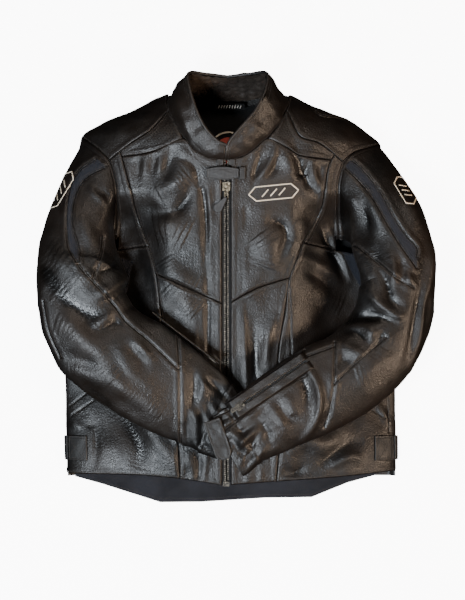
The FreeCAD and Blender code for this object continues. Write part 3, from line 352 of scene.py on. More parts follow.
def grid_quads(index):
    """Quads between the rows and columns of a grid of point numbers."""
    return np.stack([index[:-1, :-1], index[1:, :-1], index[1:, 1:], index[:-1, 1:]], axis=-1).reshape(-1, 4)


class Piece:
    """Collects quads, then makes one mesh object from them."""

    def __init__(self, name, materials):
        self.name, self.materials = name, materials
        self.points, self.quads, self.marks = [], [], []
        self.wear, self.cloth, self.painted_shade = [], [], []
        self.count = 0

    def add(self, points, quads, mark=0, wear=None, cloth=None, painted_shade=None):
        points = np.asarray(points, float).reshape(-1, 3)
        quads = np.asarray(quads, int).reshape(-1, 4)
        self.points.append(points)
        self.quads.append(quads + self.count)
        self.marks.append(np.full(len(quads), mark))
        for store, values in ((self.wear, wear), (self.cloth, cloth), (self.painted_shade, painted_shade)):
            store.append(np.zeros(len(points)) if values is None else np.asarray(values, float).ravel())
        self.count += len(points)

    def grid(self, points, mark=0, around=False, flip=False, wear=None, cloth=None, painted_shade=None):
        rows, columns = points.shape[:2]
        index = np.arange(rows * columns).reshape(rows, columns)
        if around:
            index = np.concatenate([index, index[:, :1]], axis=1)
        quads = grid_quads(index)
        if flip:
            quads = quads[:, ::-1]
        self.add(points, quads, mark, wear, cloth, painted_shade)

    def tube(self, line, radius, mark=1, sides=6, up=(0, 0, 1), flat=1.0):
        """Round cord along a line of points."""
        line = np.asarray(line, float)
        run = unit(np.gradient(line, axis=0))
        across = unit(np.cross(run, np.broadcast_to(np.asarray(up, float), line.shape)))
        up = np.cross(across, run)
        angle = np.arange(sides) * (2 * math.pi / sides)
        ring = across[:, None] * np.cos(angle)[None, :, None]
        ring = (ring + up[:, None] * (flat * np.sin(angle))[None, :, None]) * radius
        start = self.count
        self.grid(line[:, None] + ring, mark, around=True)
        if sides == len(SIXTHS):
            n = len(line) * sides
            caps = HEXAGON + [[n - 4, n - 5, n - 6, n - 1], [n - 4, n - 1, n - 2, n - 3]]
            self.quads.append(np.array(caps) + start)
            self.marks.append(np.full(len(caps), mark))

    def stitches(self, line, normals, pitch=3.2, length=2.2, radius=0.34, mark=1, lifted=0.08):
        """Short thread stitches along a line of points on a surface."""
        keys = lengths(line)
        count = int(keys[-1] // pitch)
        if count < 1:
            return
        middles = (np.arange(count) + 0.5) * keys[-1] / count

        def at(values, where):
            return np.stack([np.interp(where, keys, values[:, k]) for k in range(3)], axis=-1)
        reach = 0.4
        ahead, behind = (np.clip(middles + step, 0, keys[-1]) for step in (reach, -reach))
        run = unit(at(line, ahead) - at(line, behind))
        n = at(normals, middles)
        across = unit(np.cross(run, n))
        centre = at(line, middles) + n * lifted
        lengthwise = np.array([-0.5, -0.42, -0.2, 0.2, 0.42, 0.5]) * length
        width = np.array([0.25, 0.8, 1.0, 1.0, 0.8, 0.25]) * radius
        arch = np.array([-0.28, -0.05, 0.1, 0.1, -0.05, -0.28])
        ring = turned(line, SIXTHS, across, n)[:, None]
        points = (centre[:, None, None] + run[:, None, None] * lengthwise[None, :, None, None]
                  + n[:, None, None] * arch[None, :, None, None] + ring * width[None, :, None, None])
        index = np.arange(36).reshape(6, 6)
        quads = grid_quads(np.concatenate([index, index[:, :1]], axis=1))
        quads = np.concatenate([quads, HEXAGON, [[33, 32, 31, 30], [33, 30, 35, 34]]])
        quads = (quads[None] + (np.arange(count) * 36)[:, None, None]).reshape(-1, 4)
        self.add(points, quads, mark)

    def tree(self):
        points, quads = np.concatenate(self.points), np.concatenate(self.quads)
        return BVHTree.FromPolygons(points.tolist(), quads.tolist())

    def make(self, body=None):
        points, quads = np.concatenate(self.points), np.concatenate(self.quads)
        mesh = bpy.data.meshes.new(self.name)
        mesh.vertices.add(len(points))
        mesh.vertices.foreach_set("co", (points * MM).astype(np.float32).ravel())
        mesh.loops.add(quads.size)
        mesh.loops.foreach_set("vertex_index", quads.astype(np.int32).ravel())
        mesh.polygons.add(len(quads))
        mesh.polygons.foreach_set("loop_start", (np.arange(len(quads)) * 4).astype(np.int32))
        for made in self.materials:
            mesh.materials.append(made)
        mesh.polygons.foreach_set("material_index", np.concatenate(self.marks).astype(np.int32))
        mesh.polygons.foreach_set("use_smooth", np.ones(len(quads), bool))
        for title, values in (("wear", self.wear), ("cloth", self.cloth), ("painted_shade", self.painted_shade)):
            layer = mesh.attributes.new(title, "FLOAT", "POINT")
            layer.data.foreach_set("value", np.concatenate(values).astype(np.float32))
        mesh.update(calc_edges=True)
        mesh.validate()
        made = bpy.data.objects.new(self.name, mesh)
        bpy.context.scene.collection.objects.link(made)
        if body:
            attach(made, body)
        return made


def add_piece(piece, body, slot, *nodes):
    """Makes a piece on a body, in place of the CAD nodes that it stands for."""
    made = piece.make(body)
    if nodes:
        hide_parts(*nodes)
    return made


def cast(tree, plan, height=400.0):
    """Points and normals of a surface straight below plan points, where there is one."""
    places, normals = [], []
    for x, y in plan:
        place, n, _, _ = tree.ray_cast(Vector((x, y, height)), Vector((0, 0, -1)))
        if place is not None:
            places.append(place)
            normals.append(n if n.z > 0 else -n)
    return np.array(places), np.array(normals)


def sew_beside(piece, tree, plan, distance):
    """Row of stitches beside a plan line, where at least a few points of it lie on the surface."""
    run = unit(np.gradient(plan, axis=0))
    places, normals = cast(tree, plan + np.stack([-run[:, 1], run[:, 0]], axis=-1) * distance)
    if len(places) > 3:
        piece.stitches(places, normals)


def grid_normals(points, around=False):
    if around:
        points = np.concatenate([points[:, -1:], points, points[:, :1]], axis=1)
    du, dv = np.gradient(points, axis=0), np.gradient(points, axis=1)
    n = unit(np.cross(du, dv))
    return n[:, 1:-1] if around else n


def spaced(length, cell):
    """Values 0..1 with small steps at both ends."""
    ends = np.array([0.0, 0.5, 1.1, 1.8, 2.7, 3.8])
    count = max(2, int(round((length - 2 * ends[-1]) / cell)))
    middle = np.linspace(ends[-1], length - ends[-1], count + 1)
    return np.concatenate([ends[:-1], middle, (length - ends[:-1])[::-1]]) / length


def edge_distances(points):
    """Distance in mm to the four edges of a grid: s = 0, s = 1, t = 0, t = 1."""
    along_s = np.linalg.norm(np.diff(points, axis=0), axis=-1)
    along_s = np.concatenate([np.zeros((1, points.shape[1])), np.cumsum(along_s, axis=0)])
    along_t = np.linalg.norm(np.diff(points, axis=1), axis=-1)
    along_t = np.concatenate([np.zeros((points.shape[0], 1)), np.cumsum(along_t, axis=1)], axis=1)
    return [along_s, along_s[-1:] - along_s, along_t, along_t[:, -1:] - along_t]


def seam_profile(distance, depth=1.5, radius=2.2, raised=0.45):
    """Height of leather near a sewn edge: it rolls down at the seam, and stands up over the folded edge."""
    d = np.clip(distance, 0, radius) / radius
    roll = -depth * (1 - np.sqrt(np.maximum(0, 1 - (1 - d) ** 2)))
    return roll + raised * smooth((distance - 0.5) / 2.0) * (1 - smooth((distance - 6.0) / 4.0))


def leather_relief(p):
    """Unevenness of soft leather, in mm."""
    broad = waves(p, 34, 3) * 0.50 + waves(p, 17, 4) * 0.15
    return broad + waves(p, 6.5, 5) * 0.035


CALM = [  # plan boxes under straps and badges, where the leather lies smooth
    (-256, -214, -258, -210), (192, 242, -258, -210), (-48, 18, 150, 180), (14, 94, 122, 154),
    (-33, 8, -300, 190)]


def calm(p):
    """Share of the relief that is left under straps and badges."""
    share = np.ones(p.shape[:-1])
    for x0, x1, y0, y1 in CALM:
        near = np.maximum.reduce([x0 - p[..., 0], p[..., 0] - x1, y0 - p[..., 1], p[..., 1] - y1])
        share *= 0.2 + 0.8 * smooth(near / 10.0)
    return share


# ------------------------------------------------------------------ materials
class Material:
    """Node-based material under construction."""

    def __init__(self, name, **sockets):
        self.made = bpy.data.materials.new(name)
        self.made.use_nodes = True
        self.tree = self.made.node_tree
        self.shader = self.tree.nodes["Principled BSDF"]
        self.place = self.add("ShaderNodeTexCoord").outputs["Object"]
        for title, value in sockets.items():
            self.shader.inputs[title.replace("_", " ")].default_value = value

    def add(self, kind, inputs=None, **settings):
        node = self.tree.nodes.new(kind)
        for title, value in settings.items():
            setattr(node, title, value)
        for title, value in (inputs or {}).items():
            if isinstance(value, bpy.types.NodeSocket):
                self.tree.links.new(value, node.inputs[title])
            else:
                node.inputs[title].default_value = value
        return node

    def noise(self, scale, detail=4.0, distortion=0.0, rough=0.55):
        inputs = {"Vector": self.place, "Scale": scale, "Detail": detail, "Distortion": distortion,
                  "Roughness": rough}
        return self.add("ShaderNodeTexNoise", inputs).outputs["Fac"]

    def cells(self, scale):
        inputs = {"Vector": self.place, "Scale": scale}
        return self.add("ShaderNodeTexVoronoi", inputs, feature="DISTANCE_TO_EDGE").outputs["Distance"]

    def weave(self, scale, distortion):
        inputs = {"Vector": self.place, "Scale": scale, "Distortion": distortion}
        threads = [self.add("ShaderNodeTexWave", inputs, bands_direction=way).outputs["Fac"] for way in "XY"]
        return self.sum(*threads)

    def value(self, name):
        return self.add("ShaderNodeAttribute", attribute_name=name).outputs["Fac"]

    def span(self, source, low, high, to_low=0.0, to_high=1.0):
        inputs = {"Value": source, "From Min": low, "From Max": high, "To Min": to_low, "To Max": to_high}
        return self.add("ShaderNodeMapRange", inputs).outputs["Result"]

    def sum(self, a, b, operation="ADD"):
        node = self.add("ShaderNodeMath", {0: a, 1: b}, operation=operation)
        return node.outputs[0]

    def blend(self, factor, a, b):
        node = self.add("ShaderNodeMix", data_type="RGBA", blend_type="MIX")
        for index, value in ((0, factor), (6, a), (7, b)):
            if isinstance(value, bpy.types.NodeSocket):
                self.tree.links.new(value, node.inputs[index])
            else:
                node.inputs[index].default_value = value if index == 0 else (*value, 1.0)
        return node.outputs[2]

    def mixed(self, factor, a, b):
        node = self.add("ShaderNodeMix", data_type="FLOAT")
        for index, value in ((0, factor), (2, a), (3, b)):
            if isinstance(value, bpy.types.NodeSocket):
                self.tree.links.new(value, node.inputs[index])
            else:
                node.inputs[index].default_value = value
        return node.outputs[0]

    def bump(self, height, depth, below=None):
        inputs = {"Height": height, "Distance": depth, "Strength": 1.0}
        if below is not None:
            inputs["Normal"] = below
        return self.add("ShaderNodeBump", inputs).outputs["Normal"]

    def finish(self, **links):
        for title, source in links.items():
            self.tree.links.new(source, self.shader.inputs[title.replace("_", " ")])
        return self.made


NAVY_DARK, NAVY_LIGHT = (0.0075, 0.0082, 0.0125), (0.026, 0.029, 0.040)  # matte stretch cloth and tail
# dusty mottle, a pale colour for rubbed wear that also paints highlights, and near-black painted shade
DUSTY, WORN_AND_HIGHLIGHT, PAINTED_SHADE_BLACK = (0.016, 0.0145, 0.0135), (0.060, 0.048, 0.040), (0.0006, 0.0005, 0.0005)
WORN_ROUGH, CLOTH_ROUGH, DEEP_ROUGH = 0.38, 0.88, 0.27


def leather(name, dark=(0.0020, 0.0018, 0.0017), warm=(0.0125, 0.0080, 0.0054), gloss=0.44, grain=1.0):
    """Grained leather: its attribute for rubbed wear and painted highlight turns it pale, the cloth
    attribute turns it into cloth, and the painted-shade attribute turns it near black.
    """
    m = Material(name, Specular_IOR_Level=0.45)
    shade = m.span(m.noise(7.0, 3.0), 0.38, 0.66)
    mottle = m.span(m.noise(120.0, 5.0), 0.3, 0.75)
    colour = m.blend(shade, dark, warm)
    colour = m.blend(m.sum(mottle, 0.25, "MULTIPLY"), colour, DUSTY)
    # paler along seams and on fold crests: rubbed wear, partly a painted highlight
    wear = m.sum(m.value("wear"), m.span(m.noise(260.0, 4.0), 0.35, 0.7), "MULTIPLY")
    colour = m.blend(wear, colour, WORN_AND_HIGHLIGHT)
    weave = m.weave(430.0, 0.4)
    cloth = m.value("cloth")
    painted_shade = m.value("painted_shade")
    colour = m.blend(cloth, colour, m.blend(m.span(weave, 0.3, 1.7), NAVY_DARK, NAVY_LIGHT))
    # painted shade: seam grooves, fold valleys and armpits go near black
    colour = m.blend(painted_shade, colour, PAINTED_SHADE_BLACK)
    rough = m.span(m.noise(48.0, 4.0), 0.3, 0.7, gloss - 0.06, gloss + 0.10)
    rough = m.mixed(m.sum(m.value("wear"), 0.35, "MULTIPLY"), rough, WORN_ROUGH)
    rough = m.mixed(painted_shade, m.mixed(cloth, rough, CLOTH_ROUGH), DEEP_ROUGH)
    pebble = m.sum(m.span(m.cells(620.0), 0.0, 0.32, 0.0, 0.25), m.span(m.cells(260.0), 0.0, 0.30))
    skin = m.bump(pebble, 0.00016 * grain)
    skin = m.bump(m.noise(210.0, 1.5, 0.4), 0.00020 * grain, skin)
    skin = m.bump(m.sum(weave, cloth, "MULTIPLY"), 0.00020, skin)
    return m.finish(Base_Color=colour, Roughness=rough, Normal=skin)


def cloth_weave(name, dark=NAVY_DARK, light=NAVY_LIGHT, scale=430.0):
    m = Material(name, Roughness=0.9, Specular_IOR_Level=0.25, Sheen_Weight=0.25, Sheen_Roughness=0.5)
    weave = m.weave(scale, 0.5)
    colour = m.blend(m.span(weave, 0.3, 1.7), dark, light)
    colour = m.blend(m.span(m.noise(22.0, 3.0), 0.4, 0.65), colour, dark)
    return m.finish(Base_Color=colour, Normal=m.bump(m.noise(160.0, 3.0), 0.0004, m.bump(weave, 0.00022)))


def metal(name, colour, worn, rough):
    m = Material(name, Metallic=1.0)
    tone = m.blend(m.span(m.noise(420.0, 4.0), 0.4, 0.7), colour, worn)
    scuffs = m.span(m.noise(240.0, 3.0), 0.3, 0.7, rough - 0.08, rough + 0.12)
    return m.finish(Base_Color=tone, Roughness=scuffs, Normal=m.bump(m.noise(700.0, 2.0), 0.00005))


def plain_print(name, colour, other, rough=0.6, scale=500.0):
    m = Material(name, Roughness=rough)
    tone = m.blend(m.span(m.noise(scale, 3.0), 0.4, 0.7), colour, other)
    return m.finish(Base_Color=tone, Normal=m.bump(m.noise(scale * 1.6, 2.0), 0.00012))


BLACK = leather("black_leather")
TRIM = leather("trim_leather", (0.0070, 0.0062, 0.0058), (0.018, 0.0135, 0.0105), 0.47, 0.7)
STRAP = leather("strap_leather", (0.0045, 0.0044, 0.0044), (0.0125, 0.0108, 0.0098), 0.52, 0.6)
COLLAR_SKIN = leather("collar_lining_leather", (0.030, 0.024, 0.020), (0.085, 0.060, 0.044), 0.42, 0.7)
HOLE = plain_print("perforation", (0.0004, 0.0004, 0.0004), (0.0010, 0.0010, 0.0010), 0.95, 300.0)
THREAD = plain_print("stitching", (0.016, 0.014, 0.013), (0.060, 0.052, 0.046), 0.62, 900.0)
WELT = plain_print("welt_leather", (0.012, 0.0105, 0.0095), (0.055, 0.046, 0.039), 0.40, 300.0)
TAIL = cloth_weave("tail_cloth")
INNER = cloth_weave("lining_cloth", (0.0025, 0.0025, 0.003), (0.009, 0.009, 0.010), 300.0)
TAPE = cloth_weave("zip_tape", (0.005, 0.005, 0.0055), (0.022, 0.021, 0.021), 520.0)
METAL = metal("zip_metal", (0.045, 0.041, 0.037), (0.26, 0.225, 0.18), 0.36)
BRASS = metal("slider_brass", (0.16, 0.13, 0.09), (0.60, 0.50, 0.36), 0.30)
CREAM = plain_print("cream_print", (0.78, 0.66, 0.50), (0.90, 0.82, 0.70), 0.5)
GREY_PRINT = plain_print("grey_print", (0.66, 0.61, 0.55), (0.85, 0.80, 0.74), 0.6, 900.0)
RED_PRINT = plain_print("red_print", (0.42, 0.035, 0.022), (0.60, 0.075, 0.04), 0.55)
RUBBER = plain_print("soft_rubber", (0.020, 0.020, 0.021), (0.040, 0.040, 0.042), 0.55, 240.0)
EMBOSS = plain_print("tab_rubber", (0.020, 0.0205, 0.0215), (0.036, 0.0365, 0.038), 0.60, 260.0)

# ------------------------------------------------------------------ torso front
CELL = 1.6
PLACKET_RIGHT, PLACKET_LEFT = ZIP_X - 6.5, ZIP_X + 6.5
RIGHT_WAIST, RIGHT_APEX, RIGHT_TOP, RIGHT_TIP = (-110, -28), (-116, 21), (-165, 190), (-168, 198)
LEFT_WAIST, LEFT_APEX, LEFT_TOP, LEFT_TIP = (72, -24), (77, 15), (137, 185), (143, 193)
CHEVRON_RIGHT, CHEVRON_LEFT = (PLACKET_RIGHT, -22), (PLACKET_LEFT, -20)
NECK_RIGHT, NECK_LEFT = (PLACKET_RIGHT, 184), (PLACKET_LEFT, 186)
COLLAR_RIGHT, COLLAR_LEFT = (-76, 215), (46, 215)
YOKE_RIGHT, YOKE_LEFT = (-97, 259), (73, 258)
HEM_RIGHT, HEM_LEFT = (-82, -278), (59, -282)
PIT_RIGHT, PIT_LEFT = (-174, 56), (147, 56)
STRIP_RIGHT, STRIP_LEFT = (-128, 62), (98, 66)
TIP_RIGHT, TIP_LEFT = (-222, 219), (208, 210)
right_low = [HEM_RIGHT, (-85, -225), (-102, -100), RIGHT_WAIST, RIGHT_APEX]
right_high = [RIGHT_APEX, STRIP_RIGHT]
right_top = [STRIP_RIGHT, (-141, 97), (-152, 142), (-159, 168), RIGHT_TOP]
left_low = [HEM_LEFT, (62, -235), (61, -102), LEFT_WAIST, LEFT_APEX]
left_high = [LEFT_APEX, STRIP_LEFT]
left_top = [STRIP_LEFT, (122, 111), (128, 140), (132, 170), LEFT_TOP]
SIDE_TOP_RIGHT, SIDE_TOP_LEFT = side_point(-1, 44), side_point(1, 44)

TORSO_PANELS = [  # node, left, right, bottom, top
    ("front_chest_right", right_high[:1] + right_top, [CHEVRON_RIGHT, (PLACKET_RIGHT, 80), NECK_RIGHT],
     [RIGHT_APEX, (-77, 4), CHEVRON_RIGHT],
     [RIGHT_TOP, (-122, 196), COLLAR_RIGHT, (-60, 199), (-42, 189), NECK_RIGHT]),
    ("front_chest_left", [CHEVRON_LEFT, (PLACKET_LEFT, 80), NECK_LEFT], left_high[:1] + left_top,
     [CHEVRON_LEFT, (30, 0), LEFT_APEX],
     [NECK_LEFT, (9, 189), (28, 201), COLLAR_LEFT, (75, 201), (92, 191), LEFT_TOP]),
    ("front_lower_right", right_low, [(PLACKET_RIGHT, -288), (PLACKET_RIGHT, -150), CHEVRON_RIGHT],
     [HEM_RIGHT, (-42, -284), (PLACKET_RIGHT, -288)], [RIGHT_APEX, (-77, 4), CHEVRON_RIGHT]),
    ("front_lower_left", [(PLACKET_LEFT, -287), (PLACKET_LEFT, -150), CHEVRON_LEFT], left_low,
     [(PLACKET_LEFT, -287), HEM_LEFT], [CHEVRON_LEFT, (30, 0), LEFT_APEX]),
    ("side_panel_right", side_edge(-1, -272, 44), right_low + right_high[1:],
     [side_point(-1, -272), (-142, -273), HEM_RIGHT], [SIDE_TOP_RIGHT, PIT_RIGHT, STRIP_RIGHT]),
    ("side_panel_left", left_low + left_high[1:], side_edge(1, -268, 44),
     [HEM_LEFT, (149, -276), side_point(1, -268)], [STRIP_LEFT, PIT_LEFT, SIDE_TOP_LEFT]),
    ("armhole_strip_right", [PIT_RIGHT, (-171, 112), (-174, 156), (-183, 186)], right_top + [RIGHT_TIP],
     [PIT_RIGHT, STRIP_RIGHT], [(-183, 186), RIGHT_TIP]),
    ("armhole_strip_left", left_top + [LEFT_TIP], [PIT_LEFT, (147, 111), (146, 150), (154, 183)],
     [STRIP_LEFT, PIT_LEFT], [LEFT_TIP, (154, 183)]),
    ("perforated_panel_right", [RIGHT_TOP, RIGHT_TIP], [COLLAR_RIGHT, (-87, 239), YOKE_RIGHT],
     [RIGHT_TOP, (-122, 196), COLLAR_RIGHT], [RIGHT_TIP, (-152, 209), (-122, 229), YOKE_RIGHT]),
    ("perforated_panel_left", [COLLAR_LEFT, (62, 237), YOKE_LEFT], [LEFT_TOP, LEFT_TIP],
     [COLLAR_LEFT, (75, 201), (92, 191), LEFT_TOP], [YOKE_LEFT, (92, 219), (120, 209), LEFT_TIP]),
    ("shoulder_yoke_right", [(-183, 186), (-200, 202), TIP_RIGHT], [YOKE_RIGHT, (-100, 272), (-99, 286)],
     [(-183, 186), (-152, 209), (-122, 229), YOKE_RIGHT],
     shoulder_edge(-1, TIP_RIGHT, (-99, 286))),
    ("shoulder_yoke_left", [YOKE_LEFT, (76, 270), (78, 285)], [(154, 183), (171, 197), TIP_LEFT],
     [YOKE_LEFT, (92, 219), (120, 209), (154, 183)], shoulder_edge(1, (78, 285), TIP_LEFT)),
]
OPEN_EDGES = {  # edges that aren't sewn to a neighbour: 0 s = 0, 1 s = 1, 2 t = 0, 3 t = 1
    "side_panel_right": (0,), "side_panel_left": (1,),
    "shoulder_yoke_right": (3,), "shoulder_yoke_left": (3,)}
FABRIC = {  # matte stretch cloth let into the leather
    "side_panel_left": [(150, 64), (232, 64), (236, -60), (212, -34), (196, -18), (172, 20), (158, 48)],
    "side_panel_right": [(-150, 40), (-236, 60), (-240, 0), (-196, 14), (-160, -10)],
}
EXTRA_SEAMS = {  # pocket welts, side piping and short seams inside a panel, in plan
    "side_panel_right": [[(-219, -153), (-232, -163), (-245, -173)],
                         [(-204.5, -161), (-222, -173), (-241, -186)]],
    "side_panel_left": [[(200, -178), (210, -184), (219, -191)], [(223, -160), (225, -186), (226, -211)],
                        [(77, 2), (78, -30), (79, -60), (81, -104)]],
    "shoulder_yoke_left": [[(97, 276), (112, 259), (124, 250), (150, 249), (172, 244), (196, 229)]],
}


def torso_relief(p):
    """Height of the folds, flat under straps and badges and pressed in under the zip's fob."""
    height = fold_field(p, FOLDS["torso"]) * 1.25 + leather_relief(p)
    under_fob = np.exp(-(((p[..., 0] + 22) / 21) ** 2 + ((p[..., 1] - 124) / 24) ** 2) ** 2)
    pleats = np.exp(-((p[..., 0] - ZIP_X) / 42.0) ** 2) * smooth((-10 - p[..., 1]) / 60)
    return (height + pleats * waves(p, 9, 31, heading=90, spread=0.10) * 0.7) * calm(p) - under_fob * 1.9


def panel_grid(surface):
    """Grid of a panel, spaced by its real size."""
    probe = surface(*np.meshgrid(np.linspace(0, 1, 21), np.linspace(0, 1, 21), indexing="ij"))
    size_s = np.linalg.norm(np.diff(probe, axis=0), axis=-1).sum(axis=0).max()
    size_t = np.linalg.norm(np.diff(probe, axis=1), axis=-1).sum(axis=1).max()
    s, t = np.meshgrid(spaced(size_s, CELL), spaced(size_t, CELL), indexing="ij")
    return surface(s, t)


STITCH_IN = 3.4  # from a seam to its stitches
SHORTEST_STITCHED = 20
torso_pieces = []
all_points, all_quads, counted = [], [], 0
for label, *edges in TORSO_PANELS:
    base = panel_grid(patch(*edges))
    n = grid_normals(base)
    gaps = edge_distances(base)
    sewn = [gap for k, gap in enumerate(gaps) if k not in OPEN_EDGES.get(label, ())]
    near = np.minimum.reduce(sewn)
    relief = torso_relief(base)
    fade = smooth(near / 7.0) * 0.75 + 0.25
    lift = relief * fade + seam_profile(near) + 0.4
    crease = np.full(near.shape, 99.0)
    for line in EXTRA_SEAMS.get(label, ()):
        crease = np.minimum(crease, line_distance(base, line))
    lift -= 1.1 * hump(crease, 0.0, 1.3)
    points = base + n * lift[..., None]
    piece = Piece(label.replace("_panel", "") + "_leather", [BLACK, THREAD])
    # pale beside the seams and on fold crests: rubbed wear, partly a painted highlight
    wear = 0.55 * hump(near, 1.9, 0.9) + 0.22 * smooth((relief - 1.6) / 3.0)
    # painted shade: near black in the seam grooves and fold valleys
    painted_shade = 0.85 * np.maximum(hump(np.minimum(near, crease), 0.0, 0.9), smooth((-relief - 1.1) / 3.0))
    cloth = inside(base, FABRIC[label]) if label in FABRIC else None
    piece.grid(points, wear=wear, cloth=cloth, painted_shade=painted_shade)
    for k, gap in enumerate(gaps):
        if k in OPEN_EDGES.get(label, ()):
            continue
        if k < 2:
            column = int(np.abs(gap[:, gap.shape[1] // 2] - STITCH_IN).argmin())
            line, normals = points[column], n[column]
        else:
            row = int(np.abs(gap[gap.shape[0] // 2] - STITCH_IN).argmin())
            line, normals = points[:, row], n[:, row]
        if label.startswith("perforated") and k < 2 and lengths(line)[-1] < SHORTEST_STITCHED:
            continue
        piece.stitches(line, normals)
    torso_pieces.append((label, piece))
    index = np.arange(points.shape[0] * points.shape[1]).reshape(points.shape[:2])
    all_quads.append(grid_quads(index) + counted)
    all_points.append(points.reshape(-1, 3))
    counted += index.size
torso_tree = BVHTree.FromPolygons(np.concatenate(all_points).tolist(), np.concatenate(all_quads).tolist())
for label, piece in torso_pieces:
    add_piece(piece, "torso", "black_leather", label)

welts = Piece("torso_welts", [WELT, THREAD])
for lines in EXTRA_SEAMS.values():
    for line in lines:
        plan = trace(line, 1.5)
        places, normals = cast(torso_tree, plan)
        welts.tube(places + normals * 0.12, 0.6, mark=0, up=normals)
        sew_beside(welts, torso_tree, plan, 2.8)
add_piece(welts, "torso", "black_leather")

# rows of punched holes in the panels beside the collar
PUNCHED = (
    [RIGHT_TOP, (-122, 196), COLLAR_RIGHT, (-87, 239), YOKE_RIGHT, (-122, 229), (-152, 209)],
    [LEFT_TOP, (92, 191), (75, 201), COLLAR_LEFT, (62, 237), YOKE_LEFT, (92, 219), (120, 209)])
HOLE_STEP, ROW_STEP, HOLE_RADIUS, PLAIN_BORDER = 4.2, 3.6, 0.85, 6.0
holes = Piece("perforation_holes", [HOLE])
for outline in PUNCHED:
    low, high = np.min(outline, axis=0), np.max(outline, axis=0)
    plan = np.array([(low[0] + HOLE_STEP * i + (HOLE_STEP / 2 if j % 2 else 0.0), low[1] + ROW_STEP * j)
                     for j in range(int((high[1] - low[1]) / ROW_STEP) + 1)
                     for i in range(int((high[0] - low[0]) / HOLE_STEP) + 1)])
    spots = np.column_stack([plan, np.zeros(len(plan))])
    border = line_distance(spots, outline + outline[:1], 0.7)
    plan = plan[(inside(spots, outline) > 0) & (border > PLAIN_BORDER)]
    places, normals = cast(torso_tree, plan)
    across = np.cross(normals, [0.0, 1.0, 0.0])
    across /= np.linalg.norm(across, axis=1)[:, None]
    ring = turned(places, SIXTHS, across, np.cross(normals, across))
    points = places[:, None] + ring * HOLE_RADIUS + normals[:, None] * 0.10
    quads = np.array(HEXAGON)[None] + (np.arange(len(places)) * 6)[:, None, None]
    holes.add(points, quads[..., ::-1])
add_piece(holes, "torso", "black_leather")

# ------------------------------------------------------------------ sleeves
# Stations along each arm: share of the length, outer edge x and y, inner edge x and y, lowest and highest z.
# arc is the direction of the outer and inner edge at the elbow, and elbow its centre and radius.
SLEEVES = {
    "right": {
        "upper": [(0.0, -228, 222, -177, 64, 8, 66), (0.25, -252, 166, -170, 50, 10, 82),
                  (0.5, -277, 96, -163, 34, 22, 96),
                  (0.75, -288, 32, -158, 20, 40, 104), (1.0, -286, -25, -159, 11, 49, 108)],
        "arc": (170, 42), "elbow": (-214, -38, 73),
        "fore": [(0.0, -286, -25, -159, 11, 49, 108), (0.14, -273, -77, -156, -12, 49, 112),
                 (0.3, -250, -119, -140, -32, 49, 112), (0.48, -203, -161, -106, -52, 52, 110),
                 (0.66, -151, -191, -70, -79, 58, 106), (0.82, -100, -216, -36, -108, 62, 98),
                 (0.93, -58, -233, -8, -138, 64, 92), (1.0, -28, -244, 8, -160, 65, 88)]},
    "left": {
        "upper": [(0.0, 213, 211, 149, 66, 8, 66), (0.25, 244, 164, 166, 64, 10, 84),
                  (0.5, 273, 108, 173, 50, 22, 96),
                  (0.75, 287, 40, 178, 26, 40, 104), (1.0, 285, -34, 181, 4, 49, 108)],
        "arc": (10, 130), "elbow": (222, -45, 64),
        "fore": [(0.0, 285, -34, 181, 4, 49, 108), (0.14, 272, -81, 168, -32, 49, 114),
                 (0.3, 245, -127, 138, -66, 56, 118), (0.48, 196, -172, 100, -84, 66, 122),
                 (0.66, 136, -205, 60, -108, 78, 122), (0.82, 78, -230, 20, -138, 90, 121),
                 (0.93, 38, -247, -14, -170, 96, 119), (1.0, 10, -266, -38, -186, 97, 117)]},
}
ARMHOLES = {
    "right": seam([(-182, 71), (-178, 96), (-174, 134), (-176, 156), (-186, 186), (-203, 203), (-224, 218)]),
    "left": seam([(154, 71), (151, 97), (149, 130), (149, 154), (158, 182), (174, 197), (210, 209)]),
}


def arm_floor(x, y, side):
    """Height that a sleeve rests on: the chest, the floor beside it, or the other forearm."""
    floor = 3.0 + (torso_height(x, y) - 3.0) * smooth((90 - y) / 34) + 3.2
    floor = floor + 9.5 * smooth(1 - np.abs(x + 26) / 75)
    if side == "left":
        floor = np.maximum(floor, 96 * smooth((24 - x) / 40) * smooth((-100 - y) / 40))
    return floor


def armhole_point(side, turn):
    """Point of the armhole seam at turn degrees round it."""
    share, lift = (1 + np.cos(np.radians(turn))) / 2, np.sin(np.radians(turn))
    plan = ARMHOLES[side](share)
    x, y = plan[..., 0], plan[..., 1]
    high = torso_height(x, y) + 2.2 - 1.4 * smooth(lift / 0.5)
    ends = [float(torso_height(*ARMHOLES[side](end))) + 2.2 for end in (0.0, 1.0)]
    level = ends[0] + (ends[1] - ends[0]) * share
    return np.stack([x, y, np.where(lift >= 0, high, level + (level - 5.6) * lift)], axis=-1)


def station_point(side, part, u, turn):
    """Point of the plain tube through the stations."""
    table = along(SLEEVES[side][part], u)
    ox, oy, ix, iy, low, top = (table[..., k] for k in range(6))
    share = (1 + np.cos(np.radians(turn))) / 2
    x, y = ix + (ox - ix) * share, iy + (oy - iy) * share
    low = np.maximum(low, arm_floor(x, y, side))
    middle, half = (low + top) / 2, np.maximum(5.0, (top - low) / 2)
    return np.stack([x, y, middle + half * np.sin(np.radians(turn))], axis=-1)


